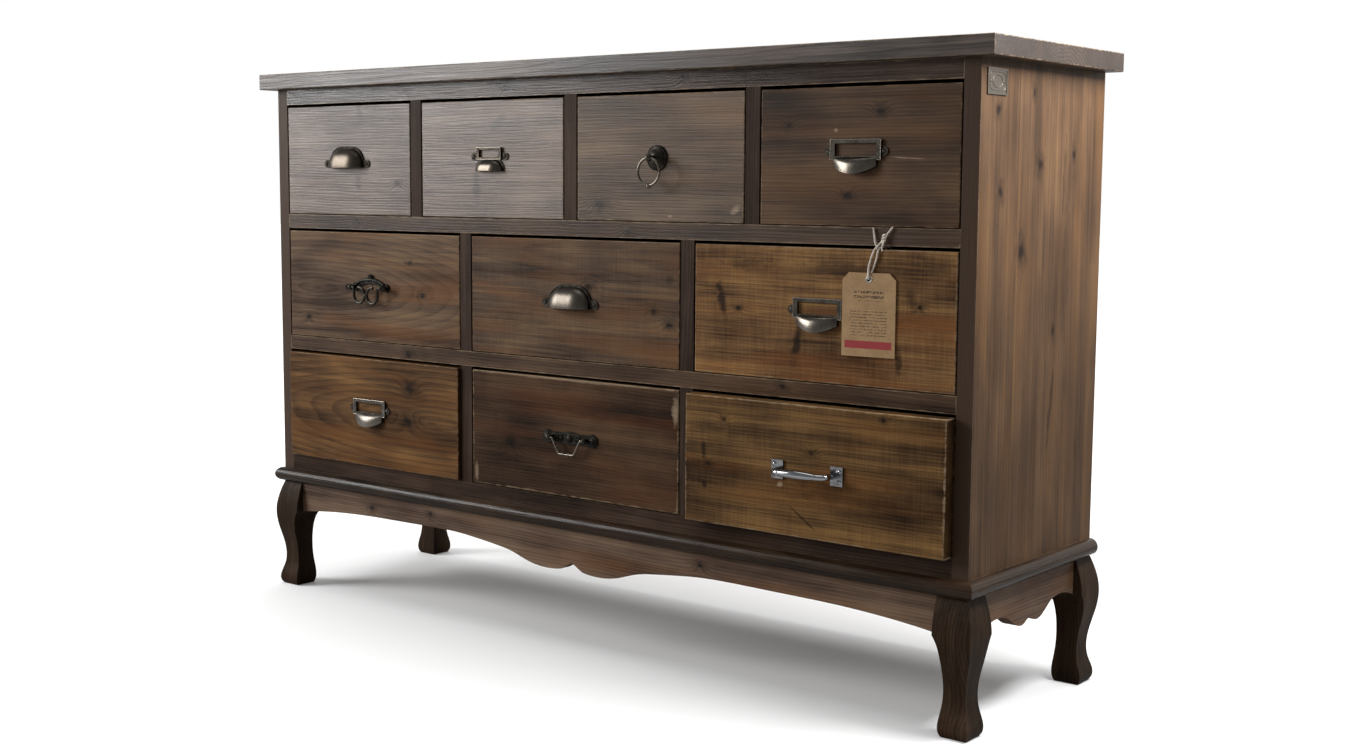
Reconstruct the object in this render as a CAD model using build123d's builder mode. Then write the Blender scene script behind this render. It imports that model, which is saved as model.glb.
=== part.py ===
"""Floor-standing seed storage chest: ten drawers in three rows, on cabriole legs.

Millimetres. +X is to the right seen from the front, +Y to the back, +Z up.
The origin is on the floor, under the middle of the whole chest, pulls included.
"""
import math
import os

from build123d import *

os.makedirs("parts", exist_ok=True)

# Case
top_length = 1200.0
top_thickness = 22.0
top_overhang_side = 23.0
top_overhang_front = 16.0
top_edge_round = 1.5
carcass_depth = 302.0
side_thickness = 20.0
rail_height = 20.0
rail_depth = 45.0
head_rail_height = 22.0
bottom_rail_height = 22.0
post_width = 20.0
row_opening_height = 158.0
row_counts = (4, 3, 3)
row_names = ("top", "middle", "bottom")
back_panel_thickness = 6.0
base_board_thickness = 12.0
runner_height = 18.0
runner_bearing = 16.0
guide_height = 56.0

# Base frame, legs and aprons
base_frame_thickness = 20.0
base_frame_width = 60.0
base_overhang = 11.0
leg_height = 157.0
leg_square = 38.0
knee_out = 10.0
apron_thickness = 18.0
apron_setback = 2.0
apron_height = 43.5
apron_lobe_drop = 12.5
apron_arch_rise = 12.5
side_arch_rise = 8.0

# Drawers
front_thickness = 20.0
front_edge_round = 1.2
front_gap_side = 2.0
front_gap_top = 4.0
front_gap_bottom = 1.0
run_clearance = 0.3
box_board = 12.0
box_bottom = 5.0
box_bottom_lift = 8.0
box_height = 112.0
box_back_gap = 14.0
glue_line = 0.1
bottom_3_out = 17.0
bottom_1_out = 5.0

# Fastenings of the pulls
screw_head_radius = 3.0
screw_head_height = 1.8
screw_shank_radius = 1.4
screw_length = 11.0
screw_tip_room = 2.0
screw_slot_width = 0.8
screw_slot_depth = 0.7
screw_clearance = 0.1
seat_gap = 0.05
bolt_radius = 1.5
bolt_head_radius = 3.2
bolt_head_height = 2.4
bolt_socket_depth = 4.0

# Cup pulls
cup_half_width = 34.0
cup_top_half_width = 10.0
cup_rise = 27.0
cup_end_rise = 4.0
cup_depth = 16.0
cup_wall = 1.8
cup_flange = 3.0
cup_flange_thickness = 1.6
cup_ear_span = 84.0
cup_ear_height = 11.0
cup_base_drop = 10.5

# Card-frame pulls, with a wide or a narrow frame
card_plate_thickness = 1.6
card_rim_thickness = 3.2
card_corner_round = 2.0
card_ear_radius = 5.0
card_cup_wall = 1.6
card_height = 38.0
card_frame_width = 66.0
card_frame_height = 23.0
card_window_width = 54.0
card_window_height = 14.0
card_ear_span = 72.0
card_ear_drop = 2.0
card_hood_half_width = 27.5
card_hood_margin = 0.8
card_hood_end_drop = 10.5
card_hood_reach = 11.5
card_hood_end_reach = 4.0
narrow_height = 31.0
narrow_frame_width = 45.0
narrow_frame_height = 16.0
narrow_window_width = 36.0
narrow_window_height = 9.5
narrow_ear_span = 57.0
narrow_ear_drop = 4.0
narrow_cup_half_width = 24.0
narrow_cup_top_half_width = 6.0
narrow_cup_rise = 15.5
narrow_cup_end_rise = 2.5
narrow_cup_depth = 11.0
narrow_cup_flange = 2.0

# Ring pull
rosette_radius = 15.5
rosette_height = 3.0
rosette_step_radius = 11.0
rosette_dome_height = 8.0
rosette_neck_radius = 3.0
ring_standoff = 17.0
ring_ball_radius = 4.4
ring_radius = 16.5
ring_wire_radius = 1.5
ring_bead_radius = 2.6
ring_hole_clearance = 0.7

# Drop pull with two looped rings
drop_span = 64.0
drop_plate_rise = 14.0
drop_plate_inner_rise = 5.0
drop_plate_thickness = 2.5
drop_crown_radius = 7.0
drop_foot_radius = 6.0
drop_post_out = 11.0
drop_post_radius = 2.6
drop_ball_radius = 4.2
drop_loop_radius = 11.0
drop_loop_gap = 0.8
drop_loop_turn = 280.0
drop_bend_radius = 3.2
drop_wire_radius = 2.0
drop_bead_radius = 3.2
pin_clearance = 0.05
pin_end_gap = 0.4

# Long plate with a trapezoid bail
plate_length = 93.0
plate_height = 13.0
plate_lobe_radius = 8.5
plate_thickness = 2.2
bail_span = 60.0
bail_foot_half = 13.0
bail_shoulder_half = 24.0
bail_drop = 20.0
bail_wire_radius = 1.4
bail_bend_radius = 4.0
bail_post_out = 9.0
bail_post_radius = 2.4
bail_ball_radius = 3.8
bail_bead_radius = 2.2

# Bar pull
bar_span = 81.0
bar_plate_width = 16.0
bar_plate_height = 22.0
bar_plate_thickness = 2.4
bar_standoff = 22.0
bar_radius = 3.6
bar_belly_radius = 5.2
bar_belly_half = 24.0
bar_bend_radius = 11.0
bar_arm_inset = 4.2
bar_screw_outset = 4.0
bar_screw_spacing = 12.0

# Blank plate on the right side, and the swing tag
maker_plate_width = 44.0
maker_plate_height = 28.0
maker_plate_thickness = 1.5
maker_plate_inset = 12.0
maker_plate_drop = 10.0
maker_plate_round = 1.5
maker_plate_rim = 2.0
maker_plate_recess = 0.5
tag_width = 67.0
tag_height = 93.0
tag_thickness = 1.0
tag_corner = 8.0
tag_eyelet_radius = 2.6
tag_eyelet_drop = 7.0
tag_offset = 68.5
tag_top_drop = 26.0
tag_near_lean = 4.4
tag_far_lean = 0.8
twine_radius = 0.8
twine_edge_radius = 3.0
twine_edge_turn = 60.0
twine_run_share = 0.45

# Places that follow from the sizes above
carcass_width = top_length - 2 * top_overhang_side
half_width = carcass_width / 2
inner_width = carcass_width - 2 * side_thickness
base_top = leg_height + base_frame_thickness
base_board_top = base_top + base_board_thickness
bottom_rail_top = base_top + bottom_rail_height
row_pitch = row_opening_height + rail_height
rows_height = len(row_counts) * row_pitch - rail_height
head_rail_bottom = bottom_rail_top + rows_height
top_underside = head_rail_bottom + head_rail_height
front_reach = bottom_3_out + bar_standoff + bar_belly_radius
face_y = (front_reach - knee_out - carcass_depth) / 2
back_y = face_y + carcass_depth
middle_y = (face_y + back_y) / 2
back_panel_face = back_y - back_panel_thickness
rail_back = face_y + rail_depth
box_back = back_panel_face - box_back_gap
across = (-inner_width / 2, inner_width / 2)
face_zone = (face_y, rail_back)
runner_zone = (rail_back, back_panel_face)
out_by_drawer = {("bottom", 3): bottom_3_out, ("bottom", 1): bottom_1_out}

# Outlines, as shares of the sizes they follow
leg_outer_shares = (
    (1.0, 0.0), (0.88, 0.62), (0.73, 1.0), (0.56, 0.75), (0.42, 0.26),
    (0.31, 0.04), (0.19, 0.2), (0.08, 0.66), (0.035, 0.62), (0.0, 0.28),
)
leg_inner_shares = (
    (0.0, 0.72), (0.035, 0.78), (0.1, 0.8), (0.24, 0.74), (0.4, 0.71), (0.56, 0.75), (0.67, 0.86), (0.725, 1.0),
)
front_apron_shares = (
    (1.0, 0.0), (0.93, 0.36), (0.76, 0.86), (0.55, 1.0), (0.38, 0.96), (0.27, 0.5), (0.2, 0.05), (0.14, -0.72),
    (0.08, -1.0), (0.035, -0.82),
)
front_cusp_share = 0.0
side_apron_shares = (
    (1.0, 0.0), (0.86, 0.75), (0.68, 1.0), (0.5, 0.6), (0.36, -0.3), (0.2, -0.9), (0.09, -0.75),
)
side_cusp_share = -0.35


def save(piece, node):
    """Label a finished piece and write its file."""
    piece.part.label = node
    export_step(piece.part, f"parts/{node}.step")


def board(x_range, y_range, z_range):
    """Add one square-edged board between three pairs of limits."""
    size = [high - low for low, high in (x_range, y_range, z_range)]
    with Locations((x_range[0], y_range[0], z_range[0])):
        Box(*size, align=(Align.MIN, Align.MIN, Align.MIN))


def save_board(node, x_range, y_range, z_range):
    """Make a node of a single board."""
    with BuildPart() as piece:
        board(x_range, y_range, z_range)
    save(piece, node)


def row_floor(row):
    """Height of the floor of a row of openings, counted from the top row."""
    return bottom_rail_top + (len(row_counts) - 1 - row) * row_pitch


def opening(row, column):
    """Left and right limits of one drawer opening."""
    count = row_counts[row]
    width = (inner_width - (count - 1) * post_width) / count
    left = across[0] + column * (width + post_width)
    return left, left + width


def post_spans(row):
    """Left and right limits of each divider post of a row."""
    return [(opening(row, column)[1], opening(row, column + 1)[0]) for column in range(row_counts[row] - 1)]


# Top board
with BuildPart() as top_board:
    board(
        (-top_length / 2, top_length / 2),
        (face_y - top_overhang_front, back_y),
        (top_underside, top_underside + top_thickness),
    )
    fillet(top_board.edges(), radius=top_edge_round)
save(top_board, "top_board")

# Side panels, whose front edges are the stiles of the face
for name, side in (("left", -1), ("right", 1)):
    limits = sorted((side * half_width, side * inner_width / 2))
    save_board(f"side_panel_{name}", limits, (face_y, back_y), (base_top, top_underside))

# Back panel and base board, between the sides
save_board("back_panel", across, (back_panel_face, back_y), (base_top, top_underside))
save_board("base_board", across, runner_zone, (base_top, base_board_top))

# Rails across the face
save_board("head_rail", across, face_zone, (head_rail_bottom, top_underside))
save_board("upper_rail", across, face_zone, (row_floor(0) - rail_height, row_floor(0)))
save_board("lower_rail", across, face_zone, (row_floor(1) - rail_height, row_floor(1)))
save_board("bottom_rail", across, face_zone, (base_top, bottom_rail_top))

# Divider posts between the drawers of a row, runners under the drawer sides, guides between the drawers
with BuildPart() as posts:
    for row in range(len(row_counts)):
        for span in post_spans(row):
            board(span, face_zone, (row_floor(row), row_floor(row) + row_opening_height))
save(posts, "divider_posts")

with BuildPart() as runners:
    for row in range(len(row_counts)):
        levels = (max(row_floor(row) - runner_height, base_board_top), row_floor(row))
        for span in post_spans(row):
            board((span[0] - runner_bearing, span[1] + runner_bearing), runner_zone, levels)
        board((across[0], across[0] + runner_bearing), runner_zone, levels)
        board((across[1] - runner_bearing, across[1]), runner_zone, levels)
save(runners, "drawer_runners")

with BuildPart() as guides:
    for row in range(len(row_counts)):
        for span in post_spans(row):
            board(span, runner_zone, (row_floor(row), row_floor(row) + guide_height))
save(guides, "drawer_guides")

# Base frame: three members with a half-round edge, mitred at the front corners, and a plain back member
nose_radius = base_frame_thickness / 2
nose_start = nose_radius - base_overhang
member_inner = base_frame_width - base_overhang
frame_reach = half_width + base_overhang


def nosed_member(plane, length):
    """Add a member along the plane's normal, half-round on the outer side of the section."""
    with BuildSketch(plane) as section:
        with BuildLine():
            Polyline(
                (nose_start, leg_height), (member_inner, leg_height), (member_inner, base_top),
                (nose_start, base_top),
            )
            ThreePointArc(
                (nose_start, base_top), (-base_overhang, leg_height + nose_radius), (nose_start, leg_height)
            )
        make_face()
    extrude(section.sketch, amount=length)


def mitre(side):
    """Plane of the mitre at a front corner, facing the side member."""
    return Plane(origin=(side * half_width, face_y, 0), z_dir=(side, 1, 0))


with BuildPart() as base_front:
    nosed_member(Plane(origin=(-frame_reach, face_y, 0), x_dir=(0, 1, 0), z_dir=(1, 0, 0)), 2 * frame_reach)
    split(bisect_by=mitre(-1), keep=Keep.BOTTOM)
    split(bisect_by=mitre(1), keep=Keep.BOTTOM)
save(base_front, "base_moulding_front")

with BuildPart() as base_right:
    start = (half_width, face_y - base_overhang, 0)
    nosed_member(Plane(origin=start, x_dir=(-1, 0, 0), z_dir=(0, 1, 0)), carcass_depth + base_overhang)
    split(bisect_by=mitre(1), keep=Keep.TOP)
save(base_right, "base_moulding_right")

with BuildPart() as base_left:
    mirror(base_right.part, about=Plane.YZ)
save(base_left, "base_moulding_left")

back_member_end = half_width - member_inner
save_board(
    "base_frame_back", (-back_member_end, back_member_end), (back_y - member_inner, back_y), (leg_height, base_top)
)


# Legs: one curved outline sawn through the blank from two sides
def leg_outline(plane):
    """Outline of a leg seen square on: x is outwards from the corner of the case, y is up."""
    outer = [(share * knee_out, up * leg_height) for up, share in leg_outer_shares]
    inner = [(-share * leg_square, up * leg_height) for up, share in leg_inner_shares]
    with BuildSketch(plane) as outline:
        with BuildLine():
            Spline(*outer)
            Line(outer[-1], inner[0])
            Spline(*inner)
            Polyline(inner[-1], (-leg_square, leg_height), outer[0])
        make_face()
    return outline.sketch


leg_blank = leg_square + knee_out
for depth_name, y_side, corner_y in (("front", -1, face_y), ("back", 1, back_y)):
    for width_name, x_side in (("left", -1), ("right", 1)):
        corner = (x_side * half_width, corner_y, 0)
        seen_from_front = Plane(origin=corner, x_dir=(x_side, 0, 0), z_dir=(0, -x_side, 0))
        seen_from_side = Plane(origin=corner, x_dir=(0, y_side, 0), z_dir=(y_side, 0, 0))
        with BuildPart() as leg:
            extrude(leg_outline(seen_from_front), amount=leg_blank, both=True)
            extrude(leg_outline(seen_from_side), amount=leg_blank, both=True, mode=Mode.INTERSECT)
        save(leg, f"leg_{depth_name}_{width_name}")


# Aprons between the legs
def shaped_apron(plane, half_length, arch_rise, shares, cusp_share):
    """Add a board with a long arch each side of a two-lobed middle; the plane is on its top edge, outside."""
    def at(side, along, up):
        scale = arch_rise if up > 0 else apron_lobe_drop
        return side * along * half_length, up * scale - apron_height

    with BuildSketch(plane) as outline:
        with BuildLine():
            for side in (-1, 1):
                curve = [at(side, *pair) for pair in shares]
                Spline(*curve)
                Line(curve[-1], at(side, 0, cusp_share))
                Line(curve[0], (side * half_length, 0))
            Line((-half_length, 0), (half_length, 0))
        make_face()
    extrude(outline.sketch, amount=-apron_thickness)


between_legs = half_width - leg_square
with BuildPart() as apron_front:
    outside = Plane(origin=(0, face_y + apron_setback, leg_height), x_dir=(1, 0, 0), z_dir=(0, -1, 0))
    shaped_apron(outside, between_legs, apron_arch_rise, front_apron_shares, front_cusp_share)
save(apron_front, "apron_front")

for name, side in (("left", -1), ("right", 1)):
    corner = (side * (half_width - apron_setback), middle_y, leg_height)
    with BuildPart() as apron_side:
        outside = Plane(origin=corner, x_dir=(0, side, 0), z_dir=(side, 0, 0))
        shaped_apron(outside, carcass_depth / 2 - leg_square, side_arch_rise, side_apron_shares, side_cusp_share)
    save(apron_side, f"apron_{name}")

apron_back_face = back_y - apron_setback
save_board(
    "apron_back",
    (-between_legs, between_legs),
    (apron_back_face - apron_thickness, apron_back_face),
    (leg_height - apron_height, leg_height),
)


# Drawers
class Drawer:
    """The limits of one drawer, worked out from its opening."""

    def __init__(self, row, column):
        left, right = opening(row, column)
        floor = row_floor(row)
        self.key = (row_names[row], column + 1)
        self.node = f"{row_names[row]}_{column + 1}"
        self.x_range = (left + front_gap_side, right - front_gap_side)
        self.z_range = (floor + front_gap_bottom, floor + row_opening_height - front_gap_top)
        self.box_floor = floor + run_clearance
        self.out = out_by_drawer.get(self.key, 0)
        self.face = face_y - self.out
        self.middle = (sum(self.x_range) / 2, self.face, sum(self.z_range) / 2)

    def plane(self, up=0, out=0):
        """Plane on the drawer's front, or out from it: x to the right, y up, normal outwards."""
        x, y, z = self.middle
        return Plane(origin=(x, y - out, z + up), x_dir=(1, 0, 0), z_dir=(0, -1, 0))


def make_box(drawer):
    """Two sides, a back and a bottom, glued up behind the front."""
    near = drawer.face + front_thickness + glue_line
    far = box_back - drawer.out
    back_near = far - box_board
    left, right = drawer.x_range
    inner = (left + box_board + glue_line, right - box_board - glue_line)
    levels = (drawer.box_floor, drawer.box_floor + box_height)
    bottom_low = drawer.box_floor + box_bottom_lift
    with BuildPart() as box:
        board((left, left + box_board), (near, far), levels)
        board((right - box_board, right), (near, far), levels)
        board(inner, (back_near, far), levels)
        board(inner, (near, back_near - glue_line), (bottom_low, bottom_low + box_bottom))
    save(box, f"drawer_box_{drawer.node}")


def make_front(drawer, plane, holes, radius, depth):
    """The drawer's front board, with a hole for each screw or bolt of its pull."""
    with BuildPart() as front:
        board(drawer.x_range, (drawer.face, drawer.face + front_thickness), drawer.z_range)
        fillet(front.faces().sort_by(Axis.Y)[0].edges(), radius=front_edge_round)
        with BuildSketch(plane) as drilling:
            with Locations(*holes):
                Circle(radius)
        extrude(drilling.sketch, amount=-depth, mode=Mode.SUBTRACT)
    save(front, f"drawer_front_{drawer.node}")


def make_screwed_front(drawer, plane, holes):
    """A front with pilot holes for screws driven from the outside."""
    make_front(drawer, plane, holes, screw_shank_radius + screw_clearance, screw_length + screw_tip_room)


def make_bolted_front(drawer, plane, holes):
    """A front with through holes for bolts put in from the inside."""
    make_front(drawer, plane, holes, bolt_radius + screw_clearance, front_thickness)


drawers = {}
for row in range(len(row_counts)):
    for column in range(row_counts[row]):
        drawer = Drawer(row, column)
        drawers[drawer.key] = drawer
        make_box(drawer)


# Screws and bolts
def add_disc(plane, places, radius, height, mode=Mode.ADD):
    """Add or cut a round of the given height on the plane, at each place."""
    with BuildSketch(plane) as rounds:
        with Locations(*places):
            Circle(radius)
    extrude(rounds.sketch, amount=height, mode=mode)


def add_screws(plane, places, thickness):
    """Drill a plate and add slotted screws whose domed heads bear on it."""
    head_base = thickness + seat_gap
    add_disc(plane, places, screw_shank_radius + screw_clearance, thickness, Mode.SUBTRACT)
    add_disc(plane.offset(-screw_length), places, screw_shank_radius, screw_length + head_base)
    for place in places:
        x, y = place
        middle = plane.from_local_coords((x, y, head_base))
        section = Plane(origin=middle, x_dir=plane.x_dir, z_dir=-plane.y_dir)
        with BuildSketch(section) as dome:
            with BuildLine():
                Polyline((0, screw_head_height), (0, 0), (screw_head_radius, 0))
                RadiusArc((screw_head_radius, 0), (0, screw_head_height), -2 * screw_head_radius)
            make_face()
        revolve(dome.sketch, axis=Axis(section.origin, plane.z_dir))
    with BuildSketch(plane.offset(head_base + screw_head_height)) as slots:
        with Locations(*places):
            Rectangle(2 * screw_head_radius, screw_slot_width)
    extrude(slots.sketch, amount=-screw_slot_depth, mode=Mode.SUBTRACT)


def add_bolts(plane, places):
    """Cut blind sockets in the back of a pull and add bolts with their heads inside the drawer."""
    add_disc(plane, places, bolt_radius + screw_clearance, bolt_socket_depth, Mode.SUBTRACT)
    inside = front_thickness + seat_gap
    add_disc(plane.offset(-inside), places, bolt_radius, inside + bolt_socket_depth - screw_clearance)
    add_disc(plane.offset(-inside), places, bolt_head_radius, -bolt_head_height)


# Cups: an arched outline swept a quarter turn outwards and pressed to its depth, open below and behind
def cup_outline(plane, half, top_half, rise, end_rise):
    """Face of a cup's outline above its lower edge: short upright ends under one smooth arch."""
    shoulder = (half - top_half, rise - end_rise)
    with BuildSketch(plane) as outline:
        with BuildLine():
            Polyline((-half, end_rise), (-half, 0), (half, 0), (half, end_rise))
            EllipticalCenterArc((top_half, end_rise), *shoulder, 0, arc_size=90)
            Line((top_half, rise), (-top_half, rise))
            EllipticalCenterArc((-top_half, end_rise), *shoulder, 90, arc_size=90)
        make_face()
    return outline.sketch


def pressed_dome(place, half, top_half, rise, end_rise, depth):
    """Solid quarter-turn dome of a cup's outline, standing out by its depth."""
    upright = Plane(origin=(0, 0, 0), x_dir=(1, 0, 0), z_dir=(0, -1, 0))
    with BuildPart(mode=Mode.PRIVATE) as dome:
        revolve(cup_outline(upright, half, top_half, rise, end_rise), axis=Axis.X, revolution_arc=90)
    return scale(dome.part, by=(1, depth / rise, 1), mode=Mode.PRIVATE).moved(Location(place))


def add_cup(plane, half, top_half, rise, end_rise, depth, flange, plate_thickness, wall):
    """Add a flange and a cup on it, and hollow both."""
    extrude(cup_outline(plane, half + flange, top_half, rise + flange, end_rise), amount=plate_thickness)
    add(pressed_dome(plane.origin, half, top_half, rise, end_rise, depth))
    hollow = pressed_dome(plane.origin, half - wall, top_half, rise - wall, end_rise, depth - wall)
    add(hollow, mode=Mode.SUBTRACT)


def make_cup_pull(drawer):
    """Cup pull with an eared flange and two screws."""
    base = drawer.plane(up=-cup_base_drop)
    ears = [(side * cup_ear_span / 2, cup_ear_height / 2) for side in (-1, 1)]
    sizes = (cup_half_width, cup_top_half_width, cup_rise, cup_end_rise, cup_depth)
    with BuildPart() as pull:
        with BuildSketch(base) as wings:
            with Locations((0, cup_ear_height / 2)):
                SlotCenterToCenter(cup_ear_span, cup_ear_height)
        extrude(wings.sketch, amount=cup_flange_thickness)
        add_cup(base, *sizes, cup_flange, cup_flange_thickness, cup_wall)
        add_screws(base, ears, cup_flange_thickness)
    save(pull, f"cup_pull_{drawer.node}")
    make_screwed_front(drawer, base, ears)


make_cup_pull(drawers["top", 1])
make_cup_pull(drawers["middle", 2])


# Card-frame pulls: a raised window frame over a finger hood or a small cup
def hood_slice(plane, along, out, down, start, margin):
    """Face of a hood's section across the plane's x axis, from the plate out and down to the lip."""
    section = Plane(origin=plane.from_local_coords((along, 0, 0)), x_dir=plane.z_dir, z_dir=-plane.x_dir)
    with BuildSketch(section) as slice_face:
        with BuildLine():
            Spline((start, -margin), (out - margin, -down - margin), tangents=((1, 0), (0, -1)))
            Polyline((out - margin, -down - margin), (start, -down - margin), (start, -margin))
        make_face()
    return slice_face.sketch


def hood_slices(plane, half, drop, start, margin):
    """Sections of a hood from end to end, deepest and lowest in the middle."""
    slices = []
    for share in (-1, -0.5, 0, 0.5, 1):
        swell = 1 - share**2
        out = card_hood_end_reach + (card_hood_reach - card_hood_end_reach) * swell
        down = card_hood_end_drop + (drop - card_hood_end_drop) * swell
        slices.append(hood_slice(plane, share * half, out, down, start, margin))
    return slices


def add_hood(plane, drop):
    """Add a finger hood that hangs from the plane's x axis, its lip curved down in the middle."""
    half = card_hood_half_width
    with BuildSketch(plane) as backing:
        with BuildLine():
            Polyline((-half, -card_hood_end_drop), (-half, 0), (half, 0), (half, -card_hood_end_drop))
            ThreePointArc((half, -card_hood_end_drop), (0, -drop), (-half, -card_hood_end_drop))
        make_face()
    extrude(backing.sketch, amount=card_plate_thickness)
    loft(hood_slices(plane, half, drop, 0, 0))
    inside = hood_slices(plane, half - card_cup_wall, drop, card_plate_thickness, card_cup_wall)
    loft(inside, mode=Mode.SUBTRACT)


def make_card_pull(drawer, height, frame, window, ear_span, ear_drop, cup=None):
    """Card-frame pull; frame and window are width and height, cup is the sizes of a cup instead of a hood."""
    base = drawer.plane()
    frame_up = (height - frame[1]) / 2
    hood_up = frame_up - window[1] / 2 - card_hood_margin
    ears = [(side * ear_span / 2, frame_up - ear_drop) for side in (-1, 1)]
    with BuildPart() as pull:
        with BuildSketch(base) as plate:
            with Locations((0, frame_up)):
                RectangleRounded(*frame, radius=card_corner_round)
            with Locations((0, frame_up - ear_drop)):
                Rectangle(ear_span, 2 * card_ear_radius)
            with Locations(*ears):
                Circle(card_ear_radius)
        extrude(plate.sketch, amount=card_plate_thickness)
        with BuildSketch(base) as rim:
            with Locations((0, frame_up)):
                RectangleRounded(*frame, radius=card_corner_round)
        extrude(rim.sketch, amount=card_rim_thickness)
        if cup:
            add_cup(drawer.plane(up=-height / 2), *cup, narrow_cup_flange, card_plate_thickness, card_cup_wall)
        else:
            add_hood(drawer.plane(up=hood_up), hood_up + height / 2)
        with BuildSketch(base) as hole:
            with Locations((0, frame_up)):
                Rectangle(*window)
        extrude(hole.sketch, amount=card_rim_thickness, mode=Mode.SUBTRACT)
        add_screws(base, ears, card_plate_thickness)
    save(pull, f"card_pull_{drawer.node}")
    make_screwed_front(drawer, base, ears)


wide_card = {
    "height": card_height,
    "frame": (card_frame_width, card_frame_height),
    "window": (card_window_width, card_window_height),
    "ear_span": card_ear_span,
    "ear_drop": card_ear_drop,
}
narrow_card = {
    "height": narrow_height,
    "frame": (narrow_frame_width, narrow_frame_height),
    "window": (narrow_window_width, narrow_window_height),
    "ear_span": narrow_ear_span,
    "ear_drop": narrow_ear_drop,
    "cup": (
        narrow_cup_half_width, narrow_cup_top_half_width, narrow_cup_rise, narrow_cup_end_rise, narrow_cup_depth
    ),
}
make_card_pull(drawers["top", 2], **narrow_card)
make_card_pull(drawers["top", 4], **wide_card)
make_card_pull(drawers["middle", 3], **wide_card)
make_card_pull(drawers["bottom", 1], **wide_card)


def ball(point, radius):
    """Add a ball at a point, with its poles along X."""
    with Locations(point):
        Sphere(radius, rotation=(0, 90, 0))


def rod_along_x(point, radius, length, mode=Mode.ADD):
    """Add or cut a round rod along X, centred at a point."""
    with Locations(point):
        Cylinder(radius, length, rotation=(0, 90, 0), mode=mode)


# Ring pull: a stepped rosette with a drilled ball, and a ring through the ball
drawer = drawers["top", 3]
base = drawer.plane()
x, y, z = drawer.middle
ball_centre = (x, y - ring_standoff, z)
with BuildPart() as rosette:
    turning = Plane(origin=drawer.middle, x_dir=(1, 0, 0), z_dir=(0, 0, -1))
    with BuildSketch(turning):
        with BuildLine():
            Polyline(
                (rosette_neck_radius, ring_standoff), (0, ring_standoff), (0, 0), (rosette_radius, 0),
                (rosette_radius, rosette_height / 2), (rosette_step_radius, rosette_height),
            )
            ThreePointArc(
                (rosette_step_radius, rosette_height),
                (
                    (rosette_step_radius + rosette_neck_radius) / math.sqrt(3),
                    (rosette_height + rosette_dome_height) / 2,
                ),
                (rosette_neck_radius, rosette_dome_height),
            )
            Line((rosette_neck_radius, rosette_dome_height), (rosette_neck_radius, ring_standoff))
        make_face()
    revolve(axis=Axis(drawer.middle, (0, -1, 0)))
    ball(ball_centre, ring_ball_radius)
    rod_along_x(ball_centre, ring_wire_radius + ring_hole_clearance, 2 * ring_ball_radius, Mode.SUBTRACT)
    add_bolts(base, [(0, 0)])
save(rosette, f"ring_rosette_{drawer.node}")
make_bolted_front(drawer, base, [(0, 0)])

with BuildPart() as ring:
    with Locations((x, y - ring_standoff, z - ring_radius)):
        Torus(ring_radius, ring_wire_radius, rotation=(90, 0, 0))
    ball((x, y - ring_standoff, z - 2 * ring_radius), ring_bead_radius)
save(ring, f"pull_ring_{drawer.node}")


# Drop pull: a crescent plate with two ball posts, and a bail of two loops
def add_ball_posts(drawer, span, post_radius, ball_radius, out, wire_radius):
    """Two posts with balls, drilled from the inner side for the ends of a bail."""
    places = [(side * span / 2, 0) for side in (-1, 1)]
    add_disc(drawer.plane(), places, post_radius, out)
    x, y, z = drawer.middle
    for side in (-1, 1):
        centre = (x + side * span / 2, y - out, z)
        ball(centre, ball_radius)
        inner_end = (x + side * (span / 2 - ball_radius), y - out, z)
        rod_along_x(inner_end, wire_radius + pin_clearance, 2 * ball_radius, Mode.SUBTRACT)
    return places


drawer = drawers["middle", 1]
base = drawer.plane()
x, y, z = drawer.middle
with BuildPart() as crescent:
    half_span = drop_span / 2
    with BuildSketch(base):
        with BuildLine():
            ThreePointArc((-half_span, 0), (0, drop_plate_rise), (half_span, 0))
            Line((half_span, 0), (half_span - drop_foot_radius, 0))
            ThreePointArc(
                (half_span - drop_foot_radius, 0), (0, drop_plate_inner_rise), (drop_foot_radius - half_span, 0)
            )
            Line((drop_foot_radius - half_span, 0), (-half_span, 0))
        make_face()
        with Locations((0, drop_plate_rise - drop_foot_radius / 2)):
            Circle(drop_crown_radius)
        with Locations((-half_span, 0), (half_span, 0)):
            Circle(drop_foot_radius)
    extrude(amount=drop_plate_thickness)
    posts_at = add_ball_posts(
        drawer, drop_span, drop_post_radius, drop_ball_radius, drop_post_out, drop_wire_radius
    )
    add_bolts(base, posts_at)
save(crescent, f"drop_plate_{drawer.node}")
make_bolted_front(drawer, base, posts_at)

loop_x = drop_loop_radius + drop_wire_radius + drop_loop_gap / 2
loop_outer = loop_x + drop_loop_radius
bend_x = loop_outer + drop_bend_radius
pin_half = half_span - pin_end_gap
with BuildPart() as loops:
    hanging = drawer.plane(out=drop_post_out)
    for side in (-1, 1):
        with BuildLine(hanging) as scroll:
            Line((side * pin_half, 0), (side * bend_x, 0))
            CenterArc((side * bend_x, -drop_bend_radius), drop_bend_radius, 90, 90 * side)
            Line((side * loop_outer, -drop_bend_radius), (side * loop_outer, -drop_loop_radius))
            start = 90 - 90 * side
            CenterArc((side * loop_x, -drop_loop_radius), drop_loop_radius, start, -drop_loop_turn * side)
        pin_end = hanging.from_local_coords((side * pin_half, 0, 0))
        with BuildSketch(Plane(origin=pin_end, z_dir=(-side, 0, 0))) as wire:
            Circle(drop_wire_radius)
        sweep(wire.sketch, path=scroll.wires()[0])
    ball((x, y - drop_post_out, z - drop_loop_radius), drop_bead_radius)
save(loops, f"drop_bail_{drawer.node}")

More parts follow.
